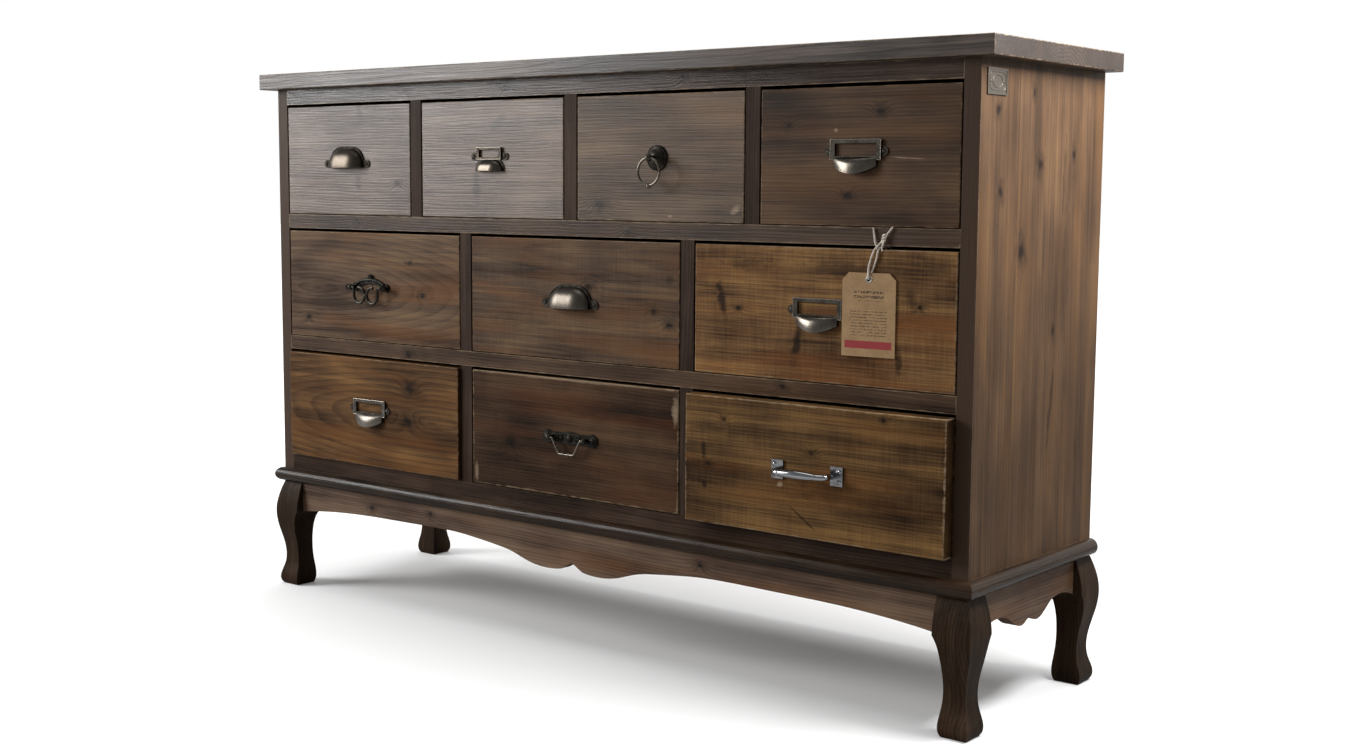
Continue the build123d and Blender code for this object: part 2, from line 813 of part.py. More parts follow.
# Long plate with lobed ends, and a trapezoid bail between its posts
drawer = drawers["bottom", 2]
base = drawer.plane()
x, y, z = drawer.middle
lobe_at = plate_length / 2 - plate_lobe_radius
with BuildPart() as long_plate:
    with BuildSketch(base):
        Rectangle(2 * lobe_at, plate_height)
        Ellipse(lobe_at / 2, plate_lobe_radius)
        with Locations((-lobe_at, 0), (lobe_at, 0)):
            Circle(plate_lobe_radius)
    extrude(amount=plate_thickness)
    posts_at = add_ball_posts(
        drawer, bail_span, bail_post_radius, bail_ball_radius, bail_post_out, bail_wire_radius
    )
    add_bolts(base, posts_at)
save(long_plate, f"bail_plate_{drawer.node}")
make_bolted_front(drawer, base, posts_at)

pin_half = bail_span / 2 - pin_end_gap
with BuildPart() as bail:
    hanging = drawer.plane(out=bail_post_out)
    with BuildLine(hanging):
        FilletPolyline(
            (-pin_half, 0), (-bail_shoulder_half, 0), (-bail_foot_half, -bail_drop), (bail_foot_half, -bail_drop),
            (bail_shoulder_half, 0), (pin_half, 0), radius=bail_bend_radius,
        )
    with BuildSketch(Plane(origin=hanging.from_local_coords((-pin_half, 0, 0)), z_dir=(1, 0, 0))):
        Circle(bail_wire_radius)
    sweep()
    for side in (-1, 1):
        ball((x + side * bail_foot_half / 3, y - bail_post_out, z - bail_drop), bail_bead_radius)
save(bail, f"bail_{drawer.node}")

# Bar pull: two screwed plates and a bellied bar
drawer = drawers["bottom", 3]
base = drawer.plane()
x, y, z = drawer.middle
plates_at = [(side * bar_span / 2, 0) for side in (-1, 1)]
screw_x = bar_span / 2 + bar_screw_outset
bar_screws = [(side * screw_x, up * bar_screw_spacing / 2) for side in (-1, 1) for up in (-1, 1)]
arm_x = bar_span / 2 - bar_arm_inset
with BuildPart() as bar_pull:
    with BuildSketch(base):
        with Locations(*plates_at):
            Rectangle(bar_plate_width, bar_plate_height)
    extrude(amount=bar_plate_thickness)
    seen_from_above = Plane(origin=drawer.middle, x_dir=(1, 0, 0), z_dir=(0, 0, -1))
    with BuildLine(seen_from_above):
        FilletPolyline(
            (-arm_x, 0), (-arm_x, bar_standoff), (arm_x, bar_standoff), (arm_x, 0), radius=bar_bend_radius
        )
    with BuildSketch(Plane(origin=base.from_local_coords((-arm_x, 0, 0)), z_dir=(0, -1, 0))):
        Circle(bar_radius)
    sweep()
    with BuildSketch(seen_from_above):
        with BuildLine():
            Polyline(
                (-bar_belly_half, bar_standoff + bar_radius), (-bar_belly_half, bar_standoff),
                (bar_belly_half, bar_standoff), (bar_belly_half, bar_standoff + bar_radius),
            )
            Spline(
                (bar_belly_half, bar_standoff + bar_radius),
                (0, bar_standoff + bar_belly_radius),
                (-bar_belly_half, bar_standoff + bar_radius),
            )
        make_face()
    revolve(axis=Axis((x, y - bar_standoff, z), (1, 0, 0)))
    add_screws(base, bar_screws, bar_plate_thickness)
save(bar_pull, f"bar_pull_{drawer.node}")
make_screwed_front(drawer, base, bar_screws)

# Blank metal plate near the top of the right side
with BuildPart() as maker_plate:
    plate_middle = (
        half_width,
        face_y + maker_plate_inset + maker_plate_width / 2,
        top_underside - maker_plate_drop - maker_plate_height / 2,
    )
    plate_plane = Plane(origin=plate_middle, x_dir=(0, 1, 0), z_dir=(1, 0, 0))
    with BuildSketch(plate_plane):
        RectangleRounded(maker_plate_width, maker_plate_height, radius=maker_plate_round)
    extrude(amount=maker_plate_thickness)
    with BuildSketch(plate_plane.offset(maker_plate_thickness)):
        Rectangle(maker_plate_width - 2 * maker_plate_rim, maker_plate_height - 2 * maker_plate_rim)
    extrude(amount=-maker_plate_recess, mode=Mode.SUBTRACT)
save(maker_plate, "blank_side_plate")

# Swing tag: a card with cut corners and an eyelet, leaning on the pull beside it
drawer = drawers["middle", 3]
x, y, z = drawer.middle
tag_x = x + tag_offset
tag_top = drawer.z_range[1] - tag_top_drop
lean_angle = math.atan2(tag_near_lean - tag_far_lean, tag_width)
tag_origin = (tag_x, y - (tag_near_lean + tag_far_lean) / 2, tag_top)
tag_plane = Plane(
    origin=tag_origin,
    x_dir=(math.cos(lean_angle), math.sin(lean_angle), 0),
    z_dir=(math.sin(lean_angle), -math.cos(lean_angle), 0),
)
with BuildPart() as tag:
    with BuildSketch(tag_plane) as card:
        with Locations((0, -tag_height / 2)):
            Rectangle(tag_width, tag_height)
        chamfer(card.vertices().group_by(Axis.Y)[-1], length=tag_corner)
        with Locations((0, -tag_eyelet_drop)):
            Circle(tag_eyelet_radius, mode=Mode.SUBTRACT)
    extrude(amount=tag_thickness)
save(tag, "swing_tag")

# Twine of the tag: over the drawer front's top edge, down through the eyelet and back.
# Each point is right of the tag's middle, out from the drawer's face and up from its top edge.
twine_route = (
    (6.0, -24.5, -13.0), (6.0, -24.5, 2.4), (6.4, -8.0, 2.5), (7.0, 3.2, 2.3), (1.5, 3.6, -11.0),
    (-0.5, 5.0, -23.0), (0.0, 5.2, -33.0), (0.0, 1.3, -33.0), (2.5, 1.5, -24.0), (8.5, 2.0, -11.0),
    (11.0, 3.2, 2.3), (12.0, -8.0, 2.5), (13.0, -24.5, 2.4), (13.0, -24.5, -13.0),
)
twine_points = [Vector(tag_x + right, y - out, drawer.z_range[1] + up) for right, out, up in twine_route]
twine_radii = []
for before, corner, after in zip(twine_points, twine_points[1:], twine_points[2:]):
    turn = (corner - before).get_angle(after - corner)
    shorter = min((corner - before).length, (after - corner).length)
    widest = twine_run_share * shorter / math.tan(math.radians(turn) / 2)
    twine_radii.append(min(widest, twine_edge_radius) if turn > twine_edge_turn else widest)
with BuildPart() as twine:
    with BuildLine() as twine_path:
        FilletPolyline(*twine_points, radius=twine_radii)
    with BuildSketch(Plane(origin=twine_points[0], z_dir=twine_points[1] - twine_points[0])):
        Circle(twine_radius)
    sweep()
save(twine, "tag_twine")
twine_length = twine_path.wires()[0].length
print("twine radii", [round(radius, 1) for radius in twine_radii])
print("twine length", round(twine_length, 1), "volume", round(twine.part.volume, 1),
      "section times length", round(math.pi * twine_radius**2 * twine_length, 1))
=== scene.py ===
# %% [markdown]
# # A seed chest of ten drawers
# The chest comes from CAD as a fixed frame: boards, drawers, legs and pulls at their real places. Here it is dressed.
# Most of what the eye sees is wood and old metal, so most of the work is in the finishes. Small ornaments, rims, the
# eyelet and the twine of the tag are modelled on top.

# %% Load the frame
import math

import bpy
from mathutils import Matrix, Vector


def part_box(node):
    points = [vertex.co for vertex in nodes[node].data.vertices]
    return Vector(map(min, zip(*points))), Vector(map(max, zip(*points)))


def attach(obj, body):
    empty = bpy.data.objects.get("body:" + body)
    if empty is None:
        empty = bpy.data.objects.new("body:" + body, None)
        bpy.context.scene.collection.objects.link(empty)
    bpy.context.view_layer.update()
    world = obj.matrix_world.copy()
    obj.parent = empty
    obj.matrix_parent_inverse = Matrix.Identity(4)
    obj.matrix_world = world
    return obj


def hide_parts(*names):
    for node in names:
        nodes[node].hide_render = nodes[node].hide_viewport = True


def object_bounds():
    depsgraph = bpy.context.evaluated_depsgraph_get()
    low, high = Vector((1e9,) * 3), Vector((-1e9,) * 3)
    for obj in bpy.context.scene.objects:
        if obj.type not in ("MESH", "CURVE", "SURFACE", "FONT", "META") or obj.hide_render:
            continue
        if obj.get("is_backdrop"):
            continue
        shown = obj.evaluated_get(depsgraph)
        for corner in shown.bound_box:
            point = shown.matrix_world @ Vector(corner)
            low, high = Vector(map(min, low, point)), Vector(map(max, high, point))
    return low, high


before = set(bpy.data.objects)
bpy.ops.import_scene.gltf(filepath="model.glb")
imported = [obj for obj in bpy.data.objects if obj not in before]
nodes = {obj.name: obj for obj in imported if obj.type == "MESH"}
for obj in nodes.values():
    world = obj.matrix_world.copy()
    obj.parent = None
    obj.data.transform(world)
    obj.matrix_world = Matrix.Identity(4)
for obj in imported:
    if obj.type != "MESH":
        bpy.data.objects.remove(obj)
cad_low, cad_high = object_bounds()
mm = 0.001
print("CAD box", [round(v, 4) for v in cad_low], [round(v, 4) for v in cad_high])

# %% [markdown]
# ## Camera
# The photograph's own camera was worked out from the straight edges of the case. It stands right of the chest, a bit
# below the height of the top, so the top's underside shows and its upper face doesn't. A matrix is the plainest way
# to write such a camera: its columns are the directions right, up and backwards.

# %% Camera
focal_length, sensor_width = 44.107, 36
camera_place = (1.4322, -1.7110, 0.5956)
view_forward = Vector((-0.61678, 0.77935, -0.11045)).normalized()
view_right = Vector((0.78365, 0.62117, 0.00698))
view_right = (view_right - view_forward * view_right.dot(view_forward)).normalized()
view_up = view_right.cross(view_forward)
camera_data = bpy.data.cameras.new("photo_camera")
camera_data.lens = focal_length
camera_data.sensor_width = sensor_width
camera = bpy.data.objects.new("photo_camera", camera_data)
bpy.context.scene.collection.objects.link(camera)
turn = Matrix((view_right, view_up, -view_forward)).transposed().to_4x4()
camera.matrix_world = Matrix.Translation(camera_place) @ turn
bpy.context.scene.camera = camera
print("camera looks along", [round(v, 3) for v in view_forward])

# %% [markdown]
# ## Twine of the tag
# A thin jute twine holds the kraft tag: it comes over the top edge of the drawer front, goes through the eyelet and
# back. A NURBS curve with a round bevel is right for a limp cord, because its line is smooth everywhere.

# %% Twine
front_low, front_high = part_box("drawer_front_middle_3")
tag_low, tag_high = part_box("swing_tag")
tag_middle = (tag_low.x + tag_high.x) / 2


def from_tag(right, out, up):
    """A point in metres, from mm right of the tag's middle, out from the drawer's face and up from its top."""
    return Vector((tag_middle + right * mm, front_low.y - out * mm, front_high.z + up * mm))


def twine_curve(name, route, radius):
    """A round cord whose smooth line is steered by the points of the route.

    The thickness is set on the points, because a curve's box is padded by their radius.
    """
    data = bpy.data.curves.new(name, "CURVE")
    data.dimensions = "3D"
    data.bevel_depth = 1.0
    data.bevel_resolution = 3
    data.resolution_u = 10
    data.use_fill_caps = True
    line = data.splines.new("NURBS")
    line.points.add(len(route) - 1)
    for point, place in zip(line.points, route):
        point.co = (*from_tag(*place), 1)
        point.radius = radius
    line.order_u = 3
    line.use_endpoint_u = True
    piece = bpy.data.objects.new(name, data)
    bpy.context.scene.collection.objects.link(piece)
    return piece


twine_radius = 1.1 * mm
twine_route = (
    (6.0, -24.5, -13.0), (6.0, -24.5, 2.4), (6.4, -8.0, 2.5), (7.0, 3.2, 2.3), (1.5, 3.6, -11.0),
    (-0.5, 5.0, -23.0), (0.0, 5.2, -33.0), (0.0, 1.3, -33.0), (2.5, 1.5, -24.0), (8.5, 2.0, -11.0),
    (11.0, 3.2, 2.3), (12.0, -8.0, 2.5), (13.0, -24.5, 2.4), (13.0, -24.5, -13.0),
)
twine = twine_curve("jute_twine", twine_route, twine_radius)
print("twine has", len(twine_route), "points")

# %% [markdown]
# The two ends of such a twine are tied together. The knot is a short length wound round the right strand, and two
# tails stand up in front of the rail. A frayed end hangs from the knot.

# %% Knot and tails
knot_radius = 1.35 * mm
knot_route = (
    (15.4, 3.6, 8.0), (17.6, 5.6, 8.6), (20.0, 4.4, 9.8), (18.6, 2.2, 11.0), (16.2, 3.4, 11.4), (17.8, 5.8, 12.2),
    (20.6, 4.6, 13.2), (19.6, 2.4, 14.4), (17.2, 3.6, 14.6), (18.4, 5.4, 15.6), (20.6, 4.2, 16.4),
)
knot = twine_curve("twine_knot", knot_route, knot_radius)
tail_left_route = ((10.0, 3.4, 1.2), (7.4, 3.6, 6.0), (5.0, 2.4, 14.0), (3.4, 1.6, 24.0))
tail_left = twine_curve("twine_tail_left", tail_left_route, twine_radius)
tail_right_route = ((7.6, 3.4, 1.0), (11.8, 3.8, 4.6), (17.6, 4.0, 11.0), (22.0, 3.2, 17.0), (28.0, 1.8, 24.6))
tail_right = twine_curve("twine_tail_right", tail_right_route, twine_radius)
frayed_route = ((19.0, 5.2, 10.4), (18.4, 5.8, 6.0), (16.8, 5.6, 2.0), (17.2, 5.0, -1.6))
frayed = twine_curve("twine_frayed_end", frayed_route, twine_radius)
twine_pieces = (twine, knot, tail_left, tail_right, frayed)
for piece in twine_pieces:
    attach(piece, "drawer_middle_3")
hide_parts("tag_twine")
print("knot and tails:", len(twine_pieces) - 1, "pieces")
from_tag(*twine_route[0])

# %% [markdown]
# ## Finishes
# Colours are written as sRGB hex values, as they are read from a picture, and one function turns them to the linear
# values that a shader works in. Another function adds one node with its settings and links. Every finish starts from
# a Principled shader.

# %% Colour and node helpers


def colour(hex_value):
    """Linear colour of an sRGB hex value."""
    parts = [int(hex_value[i : i + 2], 16) / 255 for i in (1, 3, 5)]
    return (*[p / 12.92 if p <= 0.04045 else ((p + 0.055) / 1.055) ** 2.4 for p in parts], 1)


def put(tree, kind, inputs=None, out=0, **settings):
    """Add a node, set its properties, set or link its inputs, and give back one of its outputs."""
    node = tree.nodes.new(kind)
    for name, value in settings.items():
        setattr(node, name, value)
    for socket, value in (inputs or {}).items():
        if isinstance(value, bpy.types.NodeSocket):
            tree.links.new(value, node.inputs[socket])
        else:
            node.inputs[socket].default_value = value
    return node.outputs[out]


def new_finish(name):
    """A new material, its node tree and its shader."""
    finish = bpy.data.materials.new(name)
    finish.use_nodes = True
    return finish, finish.node_tree, finish.node_tree.nodes["Principled BSDF"]


def dress(node, finish):
    """Give a CAD node its finish."""
    for slot in nodes[node].material_slots:
        slot.material = finish


print("a mid grey is", round(colour("#808080")[0], 3), "in linear values")


# %% [markdown]
# ### Stained softwood
# The boards are fir or pine with a dark stain. A trunk is a stack of cones round its pith, so each board is cut from
# such a field of rings: the distance from a leaning pith line gives growth rings, which run straight on a board cut
# far from the pith, arch on one cut near it, and curve on an end. Knots push the rings aside. Fine fibres, streaks
# and blotches of stain lie over them, saw marks run across, and the arrises are rubbed pale. One function does it for
# all boards, because only the numbers differ. Lengths are in millimetres from the board's middle.

# %% Stained softwood
dark_crack, pale_chip, rubbed_wood = "#1a110b", "#b09a80", "#a48d72"
# Rings wander by up to this many mm. Knots and marks go right through a board, so their third size has no end
ring_waver, endless = 14.0, 1e5


def stained_wood(name, box, axes, tones, rings=(4.0, 0.2), pith=(170, -40), lean=(0.0, 0.03), knots=(), marks=(),
                 saw=0.0, wear=(1.0, 0.55), strip=0, gloss=0.45, sheen=0.25, relief=0.35, seed=0, dark_edge=None,
                 blush=("#7a4e28", 0.45), end_grain=0.8):
    """A stained board. axes names the directions along the grain, across the face and through the board.

    A knot is its place along and across and its radius. A mark is its place, half length, half width, tilt in degrees
    and strength: a dark smear or crack, or a pale chip where the strength is negative.
    """
    finish, tree, shader = new_finish(name)
    # The board's middle and half size, in mm
    low, high = box
    centre, half = (low + high) * 500, (high - low) * 500
    order = ["XYZ".index(letter) for letter in axes]

    place = put(tree, "ShaderNodeTexCoord", out=3)
    local = put(tree, "ShaderNodeMapping", {"Vector": place, "Location": -centre, "Scale": (1 / mm, 1 / mm, 1 / mm)})
    split = put(tree, "ShaderNodeSeparateXYZ", {0: local}).node
    along, across, through = (split.outputs[i] for i in order)
    board = put(tree, "ShaderNodeCombineXYZ", {0: along, 1: across, 2: through})

    # A glued board is made of strips, each from another trunk
    grain, strip_tone = board, 0.5
    if strip:
        number = put(tree, "ShaderNodeMath", {0: across, 1: strip}, operation="DIVIDE")
        index = put(tree, "ShaderNodeMath", {0: number}, operation="FLOOR")
        trunk = put(tree, "ShaderNodeTexWhiteNoise", {"W": index}, out=1, noise_dimensions="1D")
        strip_tone = put(tree, "ShaderNodeTexWhiteNoise", {"W": index}, noise_dimensions="1D")
        grain = put(tree, "ShaderNodeVectorMath", {0: trunk, 1: (400, 60, 40), 2: grain}, operation="MULTIPLY_ADD")

    # Noise layers: how much each is stretched along the grain, its width in mm and its detail
    shift = (seed * 173.0, seed * 59.0, seed * 31.0)
    noise = {}
    for layer, stretch, size, detail in (
        ("waver", (0.15, 1, 1), 45, 2), ("fibre", (0.02, 1, 1), 1.3, 3), ("streak", (0.018, 1, 1), 7, 3),
        ("band", (0.07, 1, 1), 26, 4), ("blotch", (0.5, 1, 1), 60, 4), ("blush", (0.16, 1, 1), 36, 3),
        ("saw", (1, 0.05, 0.05), 2.4, 3), ("chip", (0.5, 1, 1), 7, 6),
    ):
        stretched = put(tree, "ShaderNodeVectorMath", {0: grain, 1: stretch, 2: shift}, operation="MULTIPLY_ADD")
        noise[layer] = put(tree, "ShaderNodeTexNoise", {"Vector": stretched, "Scale": 1 / size, "Detail": detail})

    # Rings round the leaning pith
    pitch, ring_share = rings
    side = put(tree, "ShaderNodeVectorMath", {0: grain, 1: (-lean[0], 1, 0)}, out=1, operation="DOT_PRODUCT")
    deep = put(tree, "ShaderNodeVectorMath", {0: grain, 1: (-lean[1], 0, 1)}, out=1, operation="DOT_PRODUCT")
    from_pith = put(tree, "ShaderNodeCombineXYZ", {0: side, 1: deep})
    from_pith = put(tree, "ShaderNodeVectorMath", {0: from_pith, 1: (*pith, 0)}, operation="SUBTRACT")
    radius = put(tree, "ShaderNodeVectorMath", {0: from_pith}, out=1, operation="LENGTH")
    phase = put(tree, "ShaderNodeMath", {0: noise["waver"], 1: ring_waver, 2: radius}, operation="MULTIPLY_ADD")
    spots = list(marks)
    for knot_along, knot_across, size in knots:
        away = put(tree, "ShaderNodeMapping", {
            "Vector": board, "Location": (knot_along, knot_across, 0),
            "Scale": (3.0 * size, 2.2 * size, endless)}, vector_type="TEXTURE")
        away = put(tree, "ShaderNodeVectorMath", {0: away, 1: away}, out=1, operation="DOT_PRODUCT")
        away = put(tree, "ShaderNodeMath", {0: away, 1: -1.0}, operation="MULTIPLY")
        swell = put(tree, "ShaderNodeMath", {0: away}, operation="EXPONENT")
        phase = put(tree, "ShaderNodeMath", {0: swell, 1: 2.2 * size, 2: phase}, operation="MULTIPLY_ADD")
        spots += [(knot_along, knot_across, 1.4 * size, size, 0, 0.9),
                  (knot_along, knot_across, 3.6 * size, 2.0 * size, 0, 0.4)]
    ring = put(tree, "ShaderNodeMath", {0: phase, 1: pitch}, operation="DIVIDE")
    ring = put(tree, "ShaderNodeMath", {0: ring}, operation="FRACT")
    late = put(tree, "ShaderNodeValToRGB", {0: ring})
    for spot, value in ((0.5, 0.3), (0.85, 1.0), (0.95, 0.8)):
        late.node.color_ramp.elements.new(spot).color = (value, value, value, 1)
    late.node.color_ramp.elements[-1].color = (0, 0, 0, 1)

    # One value from deep to pale stain, 0.5 on average
    tone = put(tree, "ShaderNodeMath", {0: noise["fibre"], 1: 0.55, 2: -1.175 + 0.4 * ring_share - saw / 2},
               operation="MULTIPLY_ADD")
    for share, layer in ((0.6, noise["streak"]), (1.0, noise["band"]), (1.1, noise["blotch"]), (saw, noise["saw"]),
                         (-ring_share, late), (0.1, strip_tone)):
        tone = put(tree, "ShaderNodeMath", {0: layer, 1: share, 2: tone}, operation="MULTIPLY_ADD")
    paint = put(tree, "ShaderNodeValToRGB", {0: tone})
    ramp = paint.node.color_ramp.elements
    ramp[0].position, ramp[0].color = 0.15, colour(tones[0])
    ramp[1].position, ramp[1].color = 0.9, colour(tones[2])
    ramp.new(0.5).color = colour(tones[1])
    warmer = put(tree, "ShaderNodeMapRange", {0: noise["blush"], 1: 0.48, 2: 0.68, 3: 0.0, 4: blush[1]})
    paint = put(tree, "ShaderNodeMix", {0: warmer, 6: paint, 7: colour(blush[0])}, out=2, data_type="RGBA")

    # Knots, smears, cracks and chips, each a ragged oval
    for mark_along, mark_across, half_length, half_width, tilt, strength in spots:
        away = put(tree, "ShaderNodeMapping", {
            "Vector": board, "Location": (mark_along, mark_across, 0), "Rotation": (0, 0, math.radians(tilt)),
            "Scale": (half_length, half_width, endless)}, vector_type="TEXTURE")
        away = put(tree, "ShaderNodeVectorMath", {0: away}, out=1, operation="LENGTH")
        away = put(tree, "ShaderNodeMath", {0: noise["chip"], 1: 1.8, 2: away}, operation="MULTIPLY_ADD")
        mask = put(tree, "ShaderNodeMapRange", {0: away, 1: 1.3, 2: 1.95, 3: abs(strength), 4: 0.0})
        stain = colour(dark_crack if strength > 0 else pale_chip)
        paint = put(tree, "ShaderNodeMix", {0: mask, 6: paint, 7: stain}, out=2, data_type="RGBA")
    if strip:
        part = put(tree, "ShaderNodeMath", {0: number}, operation="FRACT")
        part = put(tree, "ShaderNodeMath", {0: part, 1: 0.5}, operation="SUBTRACT")
        part = put(tree, "ShaderNodeMath", {0: part}, operation="ABSOLUTE")
        seam = put(tree, "ShaderNodeMapRange", {0: part, 1: 0.5 - 0.6 / strip, 2: 0.5, 3: 0.0, 4: 0.35})
        paint = put(tree, "ShaderNodeMix", {0: seam, 6: paint, 7: colour(tones[0])}, out=2, data_type="RGBA")

    # Rubbed arrises: the middle one of the three distances to the board's faces is near zero only at an edge
    over = []
    for value, i in zip((along, across, through), order):
        size = put(tree, "ShaderNodeMath", {0: value}, operation="ABSOLUTE")
        over.append(put(tree, "ShaderNodeMath", {0: size, 1: half[i]}, operation="SUBTRACT"))
    # End grain drinks more stain, so the ends of a board are darker
    soaked = put(tree, "ShaderNodeMapRange", {0: over[0], 1: -0.6, 2: -0.1, 3: 0.0, 4: end_grain})
    paint = put(tree, "ShaderNodeMix", {0: soaked, 6: paint, 7: colour(tones[0])}, out=2, data_type="RGBA")
    lesser = put(tree, "ShaderNodeMath", {0: over[0], 1: over[1]}, operation="MINIMUM")
    greater = put(tree, "ShaderNodeMath", {0: over[0], 1: over[1]}, operation="MAXIMUM")
    greater = put(tree, "ShaderNodeMath", {0: greater, 1: over[2]}, operation="MINIMUM")
    arris = put(tree, "ShaderNodeMath", {0: lesser, 1: greater}, operation="MAXIMUM")
    arris = put(tree, "ShaderNodeMath", {0: noise["chip"], 1: 4 * wear[0], 2: arris}, operation="MULTIPLY_ADD")
    rubbed = put(tree, "ShaderNodeMapRange", {0: arris, 1: 0.7 * wear[0], 2: 2.1 * wear[0], 3: 0.0, 4: wear[1]})
    paint = put(tree, "ShaderNodeMix", {0: rubbed, 6: paint, 7: colour(rubbed_wood)}, out=2, data_type="RGBA")
    if dark_edge:
        brink = -half[order[1]]
        edge = put(tree, "ShaderNodeMapRange", {0: across, 1: brink, 2: 0.8 + brink, 3: 1.0, 4: 0.0})
        paint = put(tree, "ShaderNodeMix", {0: edge, 6: paint, 7: colour(dark_edge)}, out=2, data_type="RGBA")
    tree.links.new(paint, shader.inputs["Base Color"])

    # Satin where the stain fills the pores, duller on raised fibres
    shader.inputs["Specular IOR Level"].default_value = sheen
    dull = put(tree, "ShaderNodeMapRange", {0: noise["fibre"], 1: 0.3, 2: 0.7, 3: gloss - 0.07, 4: gloss + 0.1})
    tree.links.new(dull, shader.inputs["Roughness"])
    height = put(tree, "ShaderNodeMath", {0: late, 1: -0.3, 2: noise["fibre"]}, operation="MULTIPLY_ADD")
    height = put(tree, "ShaderNodeMath", {0: noise["saw"], 1: 1.5 * saw, 2: height}, operation="MULTIPLY_ADD")
    bump = put(tree, "ShaderNodeBump", {"Strength": relief, "Distance": 0.8 * mm, "Height": height})
    tree.links.new(bump, shader.inputs["Normal"])
    return finish


# %% [markdown]
# ### Drawer fronts
# The ten fronts come from ten different boards. The top row has more sheen, and its greyer tones are partly painted
# sheen: part of the grey glint of the left light is put into their colour. The lower rows are warmer, and two fronts
# on the right are rough sawn. The larger knots and cracks sit where they sit on the real fronts.

# %% Drawer fronts
top_blush = ("#77583f", 0.3)
fronts = {
    # The greyer tones of the top row are partly painted sheen of the left light
    "top_1": dict(
        tones=("#3b2e28", "#63544b", "#86766b"), knots=((104, -32, 4),), sheen=0.38, gloss=0.36,
        marks=((27, 66, 7, 18, 10, 0.5), (22, -32, 7, 15, 8, 0.45), (-60, -20, 60, 9, 1, 0.2)), blush=top_blush,
    ),
    "top_2": dict(
        tones=("#3e3026", "#68564a", "#8e7b6b"), sheen=0.42, gloss=0.36, pith=(-150, -50), blush=top_blush,
        marks=(
            (0, -8, 130, 1.8, -1, 0.75), (-26, -36, 8, 24, 8, 0.65), (15, 46, 18, 9, 35, 0.5),
            (60, 20, 70, 14, 2, 0.25),
        ),
    ),
    "top_3": dict(
        tones=("#32251b", "#5d4a39", "#826a52"), knots=((-92, -57, 6),), sheen=0.26, gloss=0.4, wear=(1.4, 0.7),
        marks=((118, -62, 10, 5, 30, -0.5), (20, -70, 5, 2, 0, -0.6)), pith=(200, -60), blush=("#74502f", 0.35),
    ),
    "top_4": dict(
        tones=("#291c13", "#4b382a", "#6c533b"), knots=((-91, 35, 3.5), (30, 49, 4), (-11, -43, 4)), sheen=0.12,
        marks=((-28, 29, 4, 3, 0, -0.7), (65, -2, 26, 0.9, -3, -0.6)), pith=(-190, -40), blush=("#6a4526", 0.35),
    ),
    "middle_1": dict(
        tones=("#37271c", "#604b3a", "#856a4c"), knots=((105, -8, 4), (80, 36, 3), (-138, -48, 4)), sheen=0.08,
        pith=(-6, -34), lean=(0.0, -0.2), rings=(7, 0.17),
    ),
    "middle_2": dict(
        tones=("#2f2117", "#584536", "#7f6447"), knots=((162, -24, 5), (136, -8, 4), (30, 18, 5)), sheen=0.08,
        pith=(60, -60), rings=(6, 0.12), saw=0.25, marks=((162, 32, 9, 6, 20, 0.45), (-90, -30, 70, 10, 1, 0.3)),
    ),
    "middle_3": dict(
        tones=("#382415", "#785839", "#ae854f"), knots=((-113, 3, 3), (131, 15, 3)), saw=0.3, sheen=0.07, gloss=0.52,
        relief=0.8, wear=(1.4, 0.7), pith=(160, -60), rings=(4, 0.12), blush=("#86522a", 0.55),
        marks=(
            (-137, 13, 7, 27, 14, 0.85), (-29, -34, 7, 30, -12, 0.85), (106, -48, 5, 18, 0, 0.7),
            (-95, 56, 45, 9, 3, 0.55), (30, 54, 60, 10, -3, 0.5), (121, 22, 7, 18, 18, 0.55),
            (-150, -50, 34, 18, 0, 0.2), (150, 60, 30, 12, 0, 0.4),
        ),
    ),
    "bottom_1": dict(
        tones=("#2f1e11", "#583f29", "#83603a"), knots=((83, 41, 7), (77, -5, 7)), sheen=0.05, pith=(-4, -30),
        lean=(0.0, 0.16), rings=(8, 0.2), marks=((-95, -46, 34, 3, -4, 0.45),),
    ),
    "bottom_2": dict(
        tones=("#22160e", "#402e21", "#604834"), knots=((-108, -15, 7),), sheen=0.05, wear=(1.7, 0.7), saw=0.15,
        rings=(4, 0.12), blush=("#5e3620", 0.45), pith=(200, -80),
        marks=(
            (172, 52, 6, 18, 0, -0.55), (0, 75, 160, 2, 0, -0.4), (-170, -60, 4, 14, 0, -0.4),
            (60, 40, 70, 12, 2, 0.35),
        ),
    ),
    "bottom_3": dict(
        tones=("#2c1d10", "#5d442a", "#8d6a40"), knots=((-119, 50, 3), (99, 68, 3), (-142, -5, 3), (5, 22, 4)),
        saw=0.3, sheen=0.05, gloss=0.52, relief=0.8, wear=(1.5, 0.75), pith=(-170, -60), rings=(4, 0.12),
        marks=(
            (-149, 11, 4, 11, 0, 0.8), (-148, -30, 6, 6, 0, 0.85), (-38, -18, 5, 3, 20, -0.7),
            (-6, -54, 28, 1.6, -34, 0.8), (60, -20, 110, 16, 2, 0.3), (-80, 40, 90, 10, 1, 0.25),
        ),
    ),
}
for number, (place, look) in enumerate(fronts.items()):
    node = f"drawer_front_{place}"
    dress(node, stained_wood(f"stained_fir_{place}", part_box(node), "XZY", seed=number + 1, **look))
print("fronts dressed:", len(fronts))
